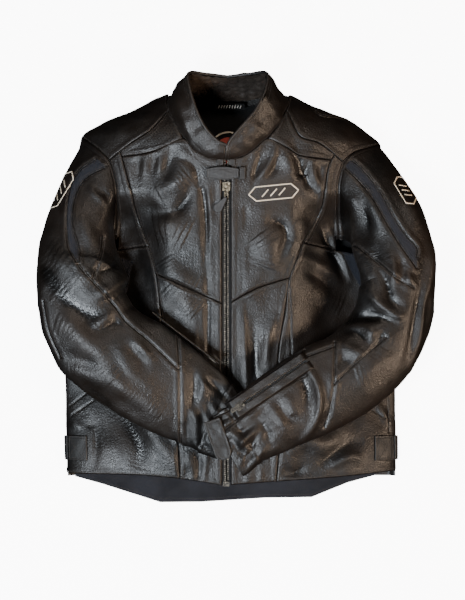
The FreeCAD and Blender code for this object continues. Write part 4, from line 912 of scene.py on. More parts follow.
def sleeve_point(side, part, u, turn):
    """Point of the sleeve. Its upper half starts at the armhole, and both halves meet in one elbow ring."""
    u, turn = np.broadcast_arrays(np.asarray(u, float), np.asarray(turn, float))
    point = station_point(side, part, u, turn)
    end = station_point(side, part, np.full_like(u, 1.0 if part == "upper" else 0.0), turn)
    share = (1 + np.cos(np.radians(turn))) / 2
    cx, cy, radius = SLEEVES[side]["elbow"]
    outer, inner = SLEEVES[side]["arc"]
    arc = np.radians(inner + (outer - inner) * share)
    ring = np.stack([cx + radius * np.cos(arc), cy + radius * np.sin(arc), end[..., 2]], axis=-1)
    move = ring - end
    if part == "fore":
        return point + move * (1 - smooth(u / 0.30))[..., None]
    point = point + move * smooth((u - 0.45) / 0.55)[..., None]
    head = armhole_point(side, turn) - station_point(side, part, np.zeros_like(u), turn)
    point = point + head * (1 - smooth(u / 0.55))[..., None]
    floor = arm_floor(point[..., 0], point[..., 1], side) - 1.0
    clear = (point[..., 2] + floor + np.sqrt((point[..., 2] - floor) ** 2 + 6.0)) / 2
    point[..., 2] = np.where(turn > 180, clear, point[..., 2])
    return point


CUFF_ZIP_ENDS = {  # share of the forearm and degrees round it, at both ends of the zip
    "left": ((0.56, 136), (0.905, 141)), "right": ((0.36, 180), (0.86, 180))}


def cuff_frame(side):
    """Start, direction and outward direction of the cuff zip."""
    (u0, turn0), (u1, turn1) = CUFF_ZIP_ENDS[side]
    k = np.linspace(0, 1, 9)
    points = sleeve_point(side, "fore", u0 + (u1 - u0) * k, turn0 + (turn1 - turn0) * k)
    way = (points[-1] - points[0]) / np.linalg.norm(points[-1] - points[0])
    if side == "left":
        up = np.cross(way, points[4] - sleeve_point(side, "fore", (u0 + u1) / 2, 90.0))
        up = up if up[2] > 0 else -up
    else:
        way[2] = 0
        up = np.array([-way[1], way[0], 0])
    up /= np.linalg.norm(up)
    middle = (points[0] + points[-1]) / 2
    level = (points[0] - middle) @ up + max(0.0, ((points - points[0]) @ up).max()) + 4.6
    way /= np.linalg.norm(way)
    return middle - way * 60.0 + up * level, way, up


SEAMS = {  # sewn lines seen on the sleeves, in plan
    "right": [
        [(-188, 176), (-215, 162), (-228, 145), (-235, 119), (-235, 89), (-225, 58), (-224, 34)],
        [(-203, 188), (-227, 171), (-239, 149), (-243, 119), (-243, 86), (-239, 58), (-227, 38)],
        [(-191, 75), (-193, 54), (-203, 14)],
        [(-225, 34), (-204, 10), (-184, -12), (-170, -29), (-158, -46), (-125, -74), (-104, -94),
         (-83, -115)],
        [(-84, -66), (-81, -102), (-80, -150), (-80, -222)],
        [(-276, -18), (-268, -60), (-252, -100)],
    ],
    "left": [
        [(165, 188), (182, 173), (207, 141), (226, 104), (245, 75), (260, 58), (260, 45)],
        [(158, 174), (182, 150), (199, 126), (215, 97), (235, 63), (258, 30)],
        [(176, 60), (204, 36), (226, 17), (253, 1)],
        [(141, -78), (139, -135), (134, -170), (126, -198)],
        [(139, -135), (170, -106), (213, -70)],
        [(141, -82), (91, -101), (52, -122), (19, -149), (-10, -173), (-33, -184)],
        [(100, -123), (60, -145), (29, -166), (7, -184), (-14, -199)],
    ],
}
STRETCH = {  # stretch cloth between the two long seams of the upper sleeve
    "right": SEAMS["right"][0] + SEAMS["right"][1][-2::-1],
    "left": SEAMS["left"][0] + SEAMS["left"][1][::-1],
}
CUFF_FROM = 0.932  # share of the forearm where the cuff band starts
UNDER_ZIP = 4.8
CUFF_EDGE = (  # how far the turned-in edge goes inward and onward, ring by ring
    (0.3, 0.9), (1.0, 1.3), (1.8, 0.9), (2.2, 0.0), (2.4, -3.0), (2.6, -12.0), (3.4, -30.0))
SLEEVE_NODES = ("sleeve_outer", "sleeve_inner", "sleeve_under", "elbow_panel", "forearm_top",
                "forearm_under", "cuff_band")


def sleeve_grid(side):
    """Points, normals and the place along the arm of a whole sleeve."""
    columns = 208
    u_upper = np.linspace(0.0, 1.0, 150)[:-1]
    u_fore = np.linspace(0.0, 1.0, 216)
    turn = (np.arange(columns) + 0.5) * 360 / columns
    parts = [sleeve_point(side, "upper", *np.meshgrid(u_upper, turn, indexing="ij")),
             sleeve_point(side, "fore", *np.meshgrid(u_fore, turn, indexing="ij"))]
    points = np.concatenate(parts)
    place = np.concatenate([u_upper, 1 + u_fore])
    n = grid_normals(points, around=True)
    centre = points.mean(axis=1, keepdims=True)
    flip = ((points - centre) * n).sum() < 0
    return points, -n if flip else n, place, turn, flip


def make_sleeve(side):
    points, n, place, turn, flip = sleeve_grid(side)
    upper_side = smooth((n[..., 2] + 0.25) / 0.5)
    relief = fold_field(points, FOLDS[side]) * upper_side * 1.2
    relief += leather_relief(points) * (0.6 + 0.4 * upper_side)
    along_arm, inner_side = place[:, None], -np.cos(np.radians(turn))[None]
    ring = hump(along_arm, 1.93, 0.10)
    relief += ring * waves(points, 11, 61, heading=-50 if side == "right" else 35, spread=0.35) * 0.6
    bend = hump(along_arm, 1.02, 0.22) * smooth((inner_side + 0.1) / 0.8)
    relief += bend * waves(points, 17, 71, heading=20 if side == "right" else -20, spread=0.4) * 0.9
    groove = np.zeros(points.shape[:2])
    # painted shade: near black in fold valleys and on the inner side next to the armhole
    painted_shade = 0.85 * smooth((-relief - 0.9) / 2.8)
    armpit_painted_shade = hump(along_arm, 0.0, 0.17) * smooth((0.35 + inner_side) / 0.7)
    painted_shade = np.maximum(painted_shade, 0.9 * armpit_painted_shade)
    # paler on fold crests: rubbed wear, partly a painted highlight
    wear = 0.20 * smooth((relief - 1.8) / 3.0)
    for line in SEAMS[side]:
        gap = line_distance(points, line)
        groove -= 1.5 * hump(gap, 0.0, 1.4) * upper_side
        groove += 0.55 * smooth((gap - 1.0) / 1.8) * (1 - smooth((gap - 6.0) / 4.0)) * upper_side
        # pale beside each seam (rubbed wear, partly a painted highlight), and painted shade in its groove
        wear = np.maximum(wear, 0.5 * hump(gap, 2.6, 0.9) * upper_side)
        painted_shade = np.maximum(painted_shade, 0.95 * hump(gap, 0.0, 1.4) * upper_side)
    in_cuff = along_arm - 1 - CUFF_FROM
    groove = groove + smooth(in_cuff / 0.006) * 1.2 - 0.9 * hump(in_cuff, 0.0, 0.004)
    stretch = inside(points, STRETCH[side]) * upper_side * (along_arm < 0.98)
    groove = groove - stretch * 0.8
    clear_of_armhole = smooth(along_arm / 0.03)
    lift = relief * (0.25 + 0.75 * clear_of_armhole) + groove - (1 - clear_of_armhole) * 1.6 + 0.3
    skin = points + n * lift[..., None]
    floor = arm_floor(skin[..., 0], skin[..., 1], side) - 2.6
    skin[..., 2] = np.where(turn[None] > 180, np.maximum(skin[..., 2], floor), skin[..., 2])
    # the leather lies lower under the cuff zip, so the slider runs clear of it
    origin, way, up = cuff_frame(side)
    away = skin - origin
    run_on, level = away @ way, away @ up
    close_by = smooth((12.0 - np.abs(away @ np.cross(way, up))) / 4.0)
    close_by = close_by * smooth((run_on + 10) / 8) * smooth((136 - run_on) / 8)
    close_by *= np.abs(level) < 12.0
    skin += up * (np.minimum(0.0, -UNDER_ZIP - level) * close_by)[..., None]
    # the cuff's edge turns in and runs back up inside
    last, run = skin[-1], skin[-1].mean(axis=0) - skin[-12].mean(axis=0)
    run /= np.linalg.norm(run)
    inward = last.mean(axis=0) - last
    inward /= np.linalg.norm(inward, axis=1)[:, None]
    inner = [last + inward * a + run * b for a, b in CUFF_EDGE]
    skin = np.concatenate([skin, np.stack(inner)])
    extra = [np.zeros((len(inner), skin.shape[1]))]
    piece = Piece("sleeve_%s_leather" % side, [BLACK, THREAD, WELT])
    piece.grid(skin, around=True, flip=flip, wear=np.concatenate([wear] + extra),
               cloth=np.concatenate([stretch] + extra), painted_shade=np.concatenate([painted_shade] + extra))
    tree = piece.tree()
    for line in SEAMS[side]:
        plan = trace(line, 1.5)
        places, normals = cast(tree, plan)
        if len(places) > 3:
            piece.tube(places + normals * 0.15, 0.62, mark=2, up=normals)
        for distance in (-3.0, 3.0):
            sew_beside(piece, tree, plan, distance)
    return piece, tree


BLENDS = {"right": ("forearm_right", (-226, 2, 70), (-208, -61, 70)),
          "left": ("forearm_left", (212, 14, 70), (224, -70, 70))}
FOLD_RADIUS = 5.6
sleeve_trees = {}
for side in SLEEVES:
    piece, sleeve_trees[side] = make_sleeve(side)
    made = piece.make()
    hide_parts(*["%s_%s" % (node, side) for node in SLEEVE_NODES])
    # the turned-in edges of the armhole seam, deep in the crease
    ring = armhole_point(side, np.arange(0.0, 360.1, 3.0))
    inward = ring.mean(axis=0) - ring
    inward /= np.linalg.norm(inward, axis=1)[:, None]
    seam_fold = Piece("armhole_%s_fold" % side, [BLACK])
    for depth, toward in ((FOLD_RADIUS, 0.0), (6.6, 7.0)):
        roll = ring + inward * depth + [toward * (1 if side == "right" else -1), 0, 0]
        roll[:, 2] = np.maximum(roll[:, 2], 6.2)
        seam_fold.tube(roll, FOLD_RADIUS, mark=0, sides=10, up=-inward)
    add_piece(seam_fold, "torso", "black_leather")
    body, start, end = BLENDS[side]
    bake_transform(made)

# ------------------------------------------------------------------ back, tail and lining
BACK_SEAMS = [[(-226, 150), (-118, 141), (104, 141), (212, 150)], [(-118, 141), (-103, 0), (-99, -276)],
              [(104, 141), (85, 0), (79, -274)]]


def build_back():
    """Back of the jacket, flat on the floor, rolled up at its sides to meet the front."""
    rows = np.arange(-276.0, 287.0, 3.0)
    columns = np.sin(np.radians(np.linspace(-90, 90, 190)))
    y = np.repeat(rows[:, None], columns.size, axis=1)
    low = np.maximum(y, -274.0)
    right, left = (half_width(np.full_like(low, TORSO_X + sign), low) for sign in (-1, 1))
    side = np.where(columns[None] < 0, right, left)
    a = columns[None] * np.ones_like(y)
    x = TORSO_X + a * (side - 0.6)
    edge = (np.abs(a) * side - side) + 14.0
    z = 0.35 + (torso_height(TORSO_X + np.sign(a) * side * 0.9995, y) + 1.2) * smooth(edge / 13.0) ** 2
    points = np.stack([x, y, z], axis=-1)
    for line in BACK_SEAMS:
        points[..., 2] += 0.9 * hump(line_distance(points, line, 2.0), 0.0, 1.6) * (z < 2)
    piece = Piece("back_leather", [BLACK, THREAD])
    piece.grid(points)
    return piece


add_piece(build_back(), "torso", "black_leather", "back_yoke", "back_centre", "back_sides")


def soft_sheet(name, outline_low, outline_high, x_low, x_high, level, thick, step, slack, seed, material):
    """Closed sheet lying flat between two edges given as functions of x, with loose soft waves in it."""
    columns = np.arange(x_low, x_high + step * 0.5, step)
    share = np.linspace(0, 1, max(8, int(70 / step)))
    low, high = outline_low(columns), outline_high(columns)
    x = np.repeat(columns[:, None], share.size, axis=1)
    y = low[:, None] + (high - low)[:, None] * share[None]
    flat = np.stack([x, y, np.full_like(x, level)], axis=-1)
    lift = (waves(flat, 26, seed) * 0.6 + waves(flat, 11, seed + 1) * 0.25 + 0.9) * slack
    gaps = np.minimum.reduce(edge_distances(flat))
    lift = lift * smooth(gaps / 9.0)
    body = thick * rounded(gaps, 2.0)
    hem = 0.5 * smooth((gaps - 0.5) / 1.5) * (1 - smooth((gaps - 7.0) / 1.6))
    top = flat + np.stack([0 * lift, 0 * lift, lift + body + hem], axis=-1)
    bottom = flat + np.stack([0 * lift, 0 * lift, lift * 0.9], axis=-1)
    piece = Piece(name, [material, THREAD])
    piece.grid(top)
    piece.grid(bottom, flip=True)
    row = int(np.abs(gaps[gaps.shape[0] // 2, :gaps.shape[1] // 2] - 6.0).argmin())
    up = np.tile([0.0, 0.0, 1.0], (top.shape[0], 1))
    piece.stitches(top[4:-4, row], up[4:-4], pitch=3.4)
    return piece


def outline_of(points):
    """Function of x that follows points, or stays level at one number."""
    if isinstance(points, float):
        return lambda x: np.full_like(x, points)
    return lambda x: np.interp(x, *np.array(points, float).T)


TAIL_EDGE = [(-240, -277), (-197, -289), (-112, -316), (-52, -315.5), (43, -309.5), (112, -308.5),
             (165, -287), (209, -275)]
LINING_TOP = [(-214, 160), (-150, 248), (-92, 273), (NECK_X, 268), (68, 273), (130, 248), (196, 170)]
tail = soft_sheet("drop_tail_cloth", outline_of(TAIL_EDGE), outline_of(-266.0), -238.0, 208.0,
                  level=0.3, thick=1.8, step=2.0, slack=0.9, seed=81, material=TAIL)
add_piece(tail, "torso", "stretch_cloth", "drop_tail")
lining = soft_sheet("lining_cloth", outline_of(-262.0), outline_of(LINING_TOP), -214.0, 196.0,
                    level=2.6, thick=1.0, step=5.0, slack=2.2, seed=91, material=INNER)
add_piece(lining, "torso", "woven_cloth", "back_lining")

# ------------------------------------------------------------------ collar
# Stations round the neck: degrees from the zip, distance to the side, y and z, for each side of the neck.
COLLAR_BACK = [(112, 74, 283, 26), (150, 40, 281, 12), (180, 0, 279, 9)]
COLLAR_BASE = {
    -1: [(0, 0, 184, 95), (14, 23, 185.5, 94), (32, 43, 194, 91), (60, 73, 230, 77),
        (84, 87, 267, 54)] + COLLAR_BACK,
    1: [(0, 0, 184, 95), (14, 18, 188.5, 94), (32, 38, 200, 90), (60, 73, 236, 76),
        (84, 88, 268, 54)] + COLLAR_BACK}
RIM_BACK = [(84, 55, 283, 106), (112, 57, 309, 92), (150, 30, 310, 74), (180, 0, 307, 68)]
COLLAR_RIM = {
    -1: [(0, 0, 203, 108), (14, 14, 209, 110), (32, 30, 225, 112), (60, 44, 250, 112)] + RIM_BACK,
    1: [(0, 0, 203, 108), (14, 5, 212, 110), (32, 17, 226, 112), (60, 41, 254, 112)] + RIM_BACK}
COLLAR_OPEN = 1.5


def collar_point(turn, t):
    """turn is degrees round the neck from the zip. t runs from the neck seam to the rim, and goes on below 0
    under the chest."""
    turn, t = np.broadcast_arrays(np.asarray(turn, float), np.asarray(t, float))
    left = (turn > 0)[..., None]
    base, rim = (np.where(left, along(table[1], np.abs(turn)), along(table[-1], np.abs(turn)))
                 for table in (COLLAR_BASE, COLLAR_RIM))
    side = np.where(turn > 0, 1.0, -1.0)
    low = np.stack([NECK_X + side * base[..., 0], base[..., 1], base[..., 2]], axis=-1)
    on_chest = smooth((100 - np.abs(turn)) / 12)
    low[..., 2] += (torso_height(low[..., 0], low[..., 1]) - 1.0 - low[..., 2]) * on_chest
    high = np.stack([NECK_X + side * rim[..., 0], rim[..., 1], rim[..., 2]], axis=-1)
    up = np.clip(t, 0, None)
    point = low + (high - low) * up[..., None]
    out = unit(np.stack([point[..., 0] - NECK_X, point[..., 1] - 262, np.zeros_like(t)], axis=-1))
    bulge = 4.0 * np.sin(np.pi * np.clip(t, 0, 1))
    tuck = np.clip(-t, 0, None) * 40.0
    point = point + out * (bulge + tuck)[..., None]
    point[..., 2] += bulge * 0.6 - tuck * 0.45
    return point


def round_neck(share):
    """Turn in degrees, from one end of the collar's opening to the other."""
    turn = COLLAR_OPEN + (360 - 2 * COLLAR_OPEN) * share
    return np.where(turn > 180, turn - 360, turn)


def collar_grid(t, lift, relief=1.0):
    """Rows round the neck from one end of the opening to the other, at heights t."""
    turn = round_neck(spaced(430.0, CELL))
    points = collar_point(turn[:, None], t[None])
    n = grid_normals(points)
    centre = np.array([NECK_X, 255.0, 60.0])
    if ((points - centre) * n).sum() < 0:
        n = -n
    gaps = edge_distances(points)
    ends = np.minimum(gaps[0], gaps[1])
    height = lift + relief * (waves(points, 22, 41) * 0.55 + waves(points, 9, 42) * 0.22)
    return points, n, height, ends


t = np.concatenate([[-0.22, -0.12, -0.05], spaced(44.0, 1.3)])
points, n, height, ends = collar_grid(t, 0.3)
COLLAR_FOLDS = [  # centre x and y, direction across the fold, width, height
    (-80, 258, 0.9, 0.3, 5, 1.6), (58, 250, 0.75, 0.6, 6, 1.8), (36, 226, 0.5, 0.85, 6, 1.5),
    (-62, 226, 0.6, -0.8, 7, -1.6), (68, 268, 0.95, 0.2, 5, -1.4)]
folds = sum(high * hump((points[..., 0] - x) * way_x + (points[..., 1] - y) * way_y, 0.0, wide)
            for x, y, way_x, way_y, wide, high in COLLAR_FOLDS)
NECK_ROW = 3
from_base, from_rim = edge_distances(points)[2:]
base_gap = from_base - from_base[:, NECK_ROW:NECK_ROW + 1]
height = (height + folds) * smooth(ends / 8) * smooth((base_gap + 2) / 4) + seam_profile(base_gap, 0.9, 2.4)
height -= 1.6 * (1 - smooth(ends / 3.0))
outer_skin = points + n * height[..., None]
inner_points, inner_n, inner_height, _ = collar_grid(spaced(44.0, 1.3), -2.6, 0.0)
crinkle = np.abs(waves(inner_points, 8, 47)) * 1.1 + waves(inner_points, 16, 48) * 0.5
back_part = smooth((inner_points[..., 1] - 262) / 24)
inner_lift = inner_height - crinkle * (0.25 + 0.75 * back_part)
inner_skin = inner_points + inner_n * inner_lift[..., None]
collar = Piece("collar_leather", [BLACK, THREAD, TRIM])
# pale band beside the neck seam: rubbed wear, partly a painted highlight
collar.grid(outer_skin, wear=0.4 * hump(base_gap, 2.2, 1.0))
for gaps, stitch_in in ((base_gap, 3.2), (from_rim, 7.0)):
    row = int(np.abs(gaps[60] - stitch_in).argmin())
    collar.stitches(outer_skin[6:-6, row], n[6:-6, row])
add_piece(collar, "torso", "black_leather", "collar_outer")
inner = Piece("collar_lining_leather", [COLLAR_SKIN, THREAD])
# crests of the lining's crinkles paler: rubbed wear, partly a painted highlight
inner.grid(inner_skin, flip=True, wear=0.3 * smooth((crinkle - 1.0) / 0.8))
add_piece(inner, "torso", "trim_leather", "collar_lining")

# rolled binding along the rim and down both front ends
binding = Piece("collar_binding_leather", [TRIM, THREAD])
RIM_POINTS = 300
turn = round_neck(np.linspace(0, 1, RIM_POINTS))
rim = collar_point(turn, np.ones_like(turn))
rim_up = rim - collar_point(turn, np.full_like(turn, 0.85))
rim_up /= np.linalg.norm(rim_up, axis=1)[:, None]
rim_n = n[np.linspace(0, n.shape[0] - 1, RIM_POINTS).astype(int), -3]
binding.tube(rim + rim_up * 0.6 - rim_n * 1.1, 2.3, mark=0, sides=12, up=rim_n, flat=1.0)
binding.stitches(rim - rim_up * 2.9 + rim_n * 0.9, rim_n, pitch=3.2)
for end in (COLLAR_OPEN, -COLLAR_OPEN):
    heights = np.linspace(0.02, 1.0, 40)
    line = collar_point(np.full(40, end), heights)
    out = np.tile(n[0 if end > 0 else -1, 20], (40, 1))
    binding.tube(line - out * 1.1, 1.9, mark=0, sides=12, up=out)
add_piece(binding, "torso", "trim_leather", "collar_binding")


# ------------------------------------------------------------------ flat parts that lie on the leather
class Strap:
    """Rounded strap built in its own frame: x from 0 to length, y across."""

    def __init__(self, name, length, width, thick, origin, x_way, y_way, materials,
                 round_end=0.0, *, seed, wave):
        self.origin, self.x_way, self.y_way = (np.array(v, float) for v in (origin, x_way, y_way))
        self.up = np.cross(self.x_way, self.y_way)
        half = width / 2
        self.piece = Piece(name, materials)
        u = spaced(length, 1.2)[:, None] * length
        v = (spaced(width, 1.2) * 2 - 1)[None]
        trim = np.ones_like(u)
        if round_end > 0:
            reach = np.clip((u - (length - round_end)) / round_end, 0, 1)
            trim = np.sqrt(np.clip(1 - reach ** 2 * 0.999, 0, 1))
        corner = 1.5
        near_end = np.minimum(u, length - u if round_end <= 0 else u)
        trim = trim * (1 - (1 - rounded(near_end, corner)) * corner / half)
        self.u, self.v = u + 0 * v, v * trim * half
        flat = np.stack([self.u, self.v, 0 * self.u], axis=-1)
        self.gap = np.minimum.reduce(edge_distances(flat))
        edge = rounded(self.gap, 1.1)
        at = flat + self.origin
        noise = waves(at, 14, seed) * 0.35 * wave + waves(at, 6, seed + 1) * 0.10 * wave
        self.top = thick * (0.5 + 0.5 * edge) + noise * smooth(self.gap / 4)
        self.bottom = thick * (0.5 - 0.5 * edge)

    def place(self, u, v, z):
        return self.origin + u[..., None] * self.x_way + v[..., None] * self.y_way + z[..., None] * self.up

    def close(self):
        wear = 0.45 * hump(self.gap, 1.0, 0.7)
        self.piece.grid(self.place(self.u, self.v, self.top), wear=wear)
        self.piece.grid(self.place(self.u, self.v, self.bottom), flip=True)

    def sew(self, path):
        """Stitches along straight runs on the strap's top."""
        path = np.array(path, float)
        steps = 24
        for a, b in zip(path, path[1:]):
            line = np.linspace(a, b, steps)
            gap = (self.u[None] - line[:, 0, None, None]) ** 2 + (self.v[None] - line[:, 1, None, None]) ** 2
            z = self.top.ravel()[gap.reshape(steps, -1).argmin(axis=1)]
            normals = np.tile(self.up, (steps, 1))
            self.piece.stitches(self.place(*line.T, z), normals, pitch=2.8, length=1.9, radius=0.32)

    def make(self, body, slot, *nodes):
        self.close()
        add_piece(self.piece, body, slot, *nodes)


# ------------------------------------------------------------------ zips
TILT = math.atan(ZIP_SLOPE)
ZIP_UP = np.array([0, -math.sin(TILT), math.cos(TILT)])
ZIP_WAY = np.array([0, math.cos(TILT), math.sin(TILT)])
CHAIN_START = np.array([ZIP_X, -284.0, 40 + ZIP_SLOPE * 4]) - ZIP_UP * 3.4
CHAIN_LENGTH = 471.0
SIGNS = {"right": -1, "left": 1}


def paint(node, made):
    """Gives a CAD node's object a finished material."""
    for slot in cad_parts[node].material_slots:
        slot.material = made


for side, sign in SIGNS.items():
    tape_start = CHAIN_START + np.array([sign * 8.4, 0, 0]) - ZIP_UP * 0.45
    tape = Strap("zip_tape_%s_cloth" % side, CHAIN_LENGTH, 14.0, 0.9, tape_start, ZIP_WAY, (-1, 0, 0),
                 [TAPE, THREAD], seed=5, wave=0.2)
    tape.top += 0.35 * hump(tape.v, -sign * 5.6, 0.7)
    tape.make("torso", "woven_cloth", "zip_tape_" + side)
    paint("zip_teeth_" + side, METAL)
paint("zip_stops", METAL)
# strap behind the zip, which closes the gap between the two fronts
guard = Strap("zip_guard_leather", CHAIN_LENGTH - 6, 34.0, 1.6, CHAIN_START - ZIP_UP * 8.0, ZIP_WAY,
              (-1, 0, 0), [BLACK, THREAD], seed=19, wave=0.5)
guard.make("torso", "black_leather")
paint("main_zip_slider", BRASS)
paint("main_zip_pull", BRASS)
paint("main_zip_fob", RUBBER)

CUFF_CHAIN, CUFF_TAPE, TOOTH_PITCH, CUFF_TEETH = 120, 11, 3.0, 38
for side in SLEEVES:
    origin, way, up = cuff_frame(side)
    across = np.cross(way, up)
    chain = Piece("cuff_zip_%s_chain" % side, [TAPE, METAL])
    for sign in (-1, 1):
        s, t = np.meshgrid(spaced(CUFF_CHAIN, 1.2), spaced(CUFF_TAPE, 1.0), indexing="ij")
        lift = 0.35 * rounded(np.minimum(t * CUFF_TAPE, (1 - t) * CUFF_TAPE), 0.6)
        inner = 0.4 * hump(t * CUFF_TAPE, 0.8, 0.7)
        x = sign * (1.4 + t * CUFF_TAPE)
        place = origin + x[..., None] * across + (s * CUFF_CHAIN)[..., None] * way
        chain.grid(place + (lift + inner)[..., None] * up, flip=sign > 0)
        chain.grid(place - lift[..., None] * up, flip=sign < 0)
        for k in range(CUFF_TEETH):
            foot = origin + way * (TOOTH_PITCH * (k + 0.45 + (0.5 if sign > 0 else 0)))
            tooth = [foot + across * sign * a + up * 0.1 for a in (0.9, 2.2, 3.5)]
            chain.tube(tooth, 0.95, mark=1, up=up, flat=1.25)
    add_piece(chain, "forearm_" + side, "zip_metal", "cuff_zip_" + side)
    paint("cuff_slider_" + side, METAL)
    paint("cuff_pull_" + side, METAL)

# leather lips over both tapes of the left cuff zip
origin, way, up = cuff_frame("left")
across = np.cross(way, up)
lips = Piece("cuff_zip_left_lips", [BLACK, THREAD])
reach = np.concatenate([[2.0, 2.05, 2.3, 2.8, 3.5], np.arange(4.5, 18.0, 0.9)])
length = np.arange(-12.0, 130.1, 2.0)
lip = np.array([-0.2, 0.9, 1.6, 2.0, 2.1] + [2.1] * (len(reach) - 5))[None]
LOWEST = -12.0
for sign in (-1, 1):
    flat = origin + length[:, None, None] * way + (sign * reach)[None, :, None] * across
    level = np.full(flat.shape[:2], LOWEST)
    for i, j in np.ndindex(*level.shape):
        hit, _, _, _ = sleeve_trees["left"].ray_cast(Vector(flat[i, j] + up * 30), Vector(-up))
        if hit is not None:
            level[i, j] = max(LOWEST, (np.array(hit) - flat[i, j]) @ up)
    outward = smooth((reach - 12.4) / 3.6)[None]
    past = 1 - smooth((length + 9.0) / 7.0)[:, None] * smooth((127.0 - length) / 7.0)[:, None]
    merged = np.maximum(outward, past)
    high = np.maximum(lip + waves(flat, 16, 67) * 0.35, level + 0.5)
    high = high + (level - 0.6 - high) * merged
    points = flat + (high - np.where(merged > 0.97, 0.8, 0.0))[..., None] * up
    wear = 0.45 * hump(reach, 2.9, 0.7)[None] * np.ones((len(length), 1))
    lips.grid(points, flip=sign < 0, wear=wear)
    for column in (6, 12):
        lips.stitches(points[7:-6, column], np.tile(up, (len(length) - 13, 1)))
add_piece(lips, "forearm_left", "black_leather")

# ------------------------------------------------------------------ neck tab, waist straps, cuff strap
def zip_height(y):
    """Height of the zip's front at y."""
    return 40 + ZIP_SLOPE * (y + 288)


TAB_Y, TAB_MIDDLE = 165.0, 23.5
tab_z = zip_height(TAB_Y) + 4.6
tab = Strap("neck_tab_rubber", 2 * TAB_MIDDLE, 19.0, 2.4, (4.0, TAB_Y, tab_z), (-1, 0, 0), -ZIP_WAY,
            [EMBOSS, THREAD], seed=12, wave=0.2)
from_middle = np.abs(tab.u - TAB_MIDDLE)
tab.v *= 1 - 0.30 * smooth((from_middle - 4.0) / 22.0)
tab.top -= 0.45 * hump(tab.gap, 2.7, 0.5)
lozenge = from_middle / 15.0 + np.abs(tab.v) / 6.0
tab.top += 0.35 * smooth((1.0 - lozenge) / 0.12) - 0.35 * hump(from_middle, 17.0, 0.5)
tab.sew([(2.4, -6.0), (2.4, 6.0)])
tab.make("neck_flap", "soft_rubber", "neck_tab")
anchor = Strap("neck_tab_anchor_leather", 9.0, 19.0, 5.2, np.array([4.8, TAB_Y, tab_z]) - ZIP_UP * 3.6,
               (1, 0, 0), ZIP_WAY, [STRAP, THREAD], seed=14, wave=0.3)
for x in (2.4, 6.4):
    anchor.sew([(x, -8.0), (x, 8.0)])
anchor.make("torso", "trim_leather", "neck_tab_anchor")

END_Y = 176.5
for side, sign in SIGNS.items():
    loop = Strap("zip_end_%s_leather" % side, 9.0, 9.5, 2.2,
                 (ZIP_X + sign * 8.5, END_Y, zip_height(END_Y) + 1.2), ZIP_WAY, (-1, 0, 0),
                 [STRAP, THREAD], seed=61, wave=0.4)
    loop.sew([(6.6, -3.4), (6.6, 3.4)])
    loop.make("torso", "trim_leather")

WAIST_Y, WAIST_LIFT, WAIST_WIDTH, WAIST_THICK = -234.0, 1.2, 36.0, 2.6


def waist_band(name, ranges, body, node, crossed):
    """Strap curved over the side of the torso, from one angle round it to another."""
    piece = Piece(name, [STRAP, THREAD])
    for sign, start, end in ranges:
        s, t = np.meshgrid(spaced(30, 1.1), spaced(36, 1.1), indexing="ij")
        base = torso_point(sign * (start + (end - start) * s), WAIST_Y + WAIST_WIDTH * (t - 0.5))
        n = grid_normals(base)
        n = n if n[..., 2].mean() > 0 else -n
        gap = np.minimum.reduce(edge_distances(base))
        edge = rounded(gap, 1.2)
        noise = waves(base, 12, 23) * 0.3 * smooth(gap / 4)
        high = WAIST_LIFT + WAIST_THICK * (0.5 + 0.5 * edge) + noise - 0.5 * hump(gap, 3.0, 0.6)
        top = base + n * high[..., None]
        bottom = base + n * (WAIST_LIFT + WAIST_THICK * (0.5 - 0.5 * edge))[..., None]
        piece.grid(top, flip=sign < 0, wear=0.4 * hump(gap, 1.2, 0.7))
        piece.grid(bottom, flip=sign > 0)

        box = [(0.12, 0.10), (0.88, 0.10), (0.88, 0.90), (0.12, 0.90), (0.12, 0.10)]
        if crossed:
            box += [(0.88, 0.90), (0.12, 0.90), (0.88, 0.10)]
        for (s0, t0), (s1, t1) in zip(box, box[1:]):
            k = np.linspace(0, 1, 30)
            i = np.clip(np.searchsorted(s[:, 0], s0 + (s1 - s0) * k), 0, s.shape[0] - 1)
            j = np.clip(np.searchsorted(t[0], t0 + (t1 - t0) * k), 0, t.shape[1] - 1)
            piece.stitches(top[i, j], n[i, j], pitch=2.8, length=2.0)
    add_piece(piece, body, "trim_leather", node)


for side, sign in SIGNS.items():
    waist_band("waist_strap_%s_leather" % side, [(sign, 60, 78)], "waist_" + side,
               "waist_strap_" + side, True)
waist_band("waist_anchor_leather", [(sign, 79.6, 88) for sign in SIGNS.values()], "torso", "waist_anchors",
           False)

root, crest = sleeve_point("left", "fore", 0.985, 172.0), sleeve_point("left", "fore", 0.965, 90.0)
heading = math.radians(-71)
strap = Strap("cuff_strap_leather", 60.0, 25.0, 2.6, (root[0] - 2, root[1] - 4, crest[2] + 1.4),
              (math.cos(heading), math.sin(heading), 0), (-math.sin(heading), math.cos(heading), 0),
              [STRAP, THREAD], round_end=12.5, seed=31, wave=0.9)
strap.top -= 0.45 * hump(strap.gap, 3.4, 0.6)
strap.sew([(3.5, -9.5), (46.0, -9.5), (53.0, -6.5), (56.5, 0.0), (53.0, 6.5), (46.0, 9.5), (3.5, 9.5),
           (3.5, -9.5)])
for start, end in ((30.0, 30.0), (8.0, 26.0), (26.0, 8.0)):
    strap.sew([(start, -9.0), (end, 9.0)])
strap.make("cuff_flap_left", "trim_leather", "cuff_strap_left")


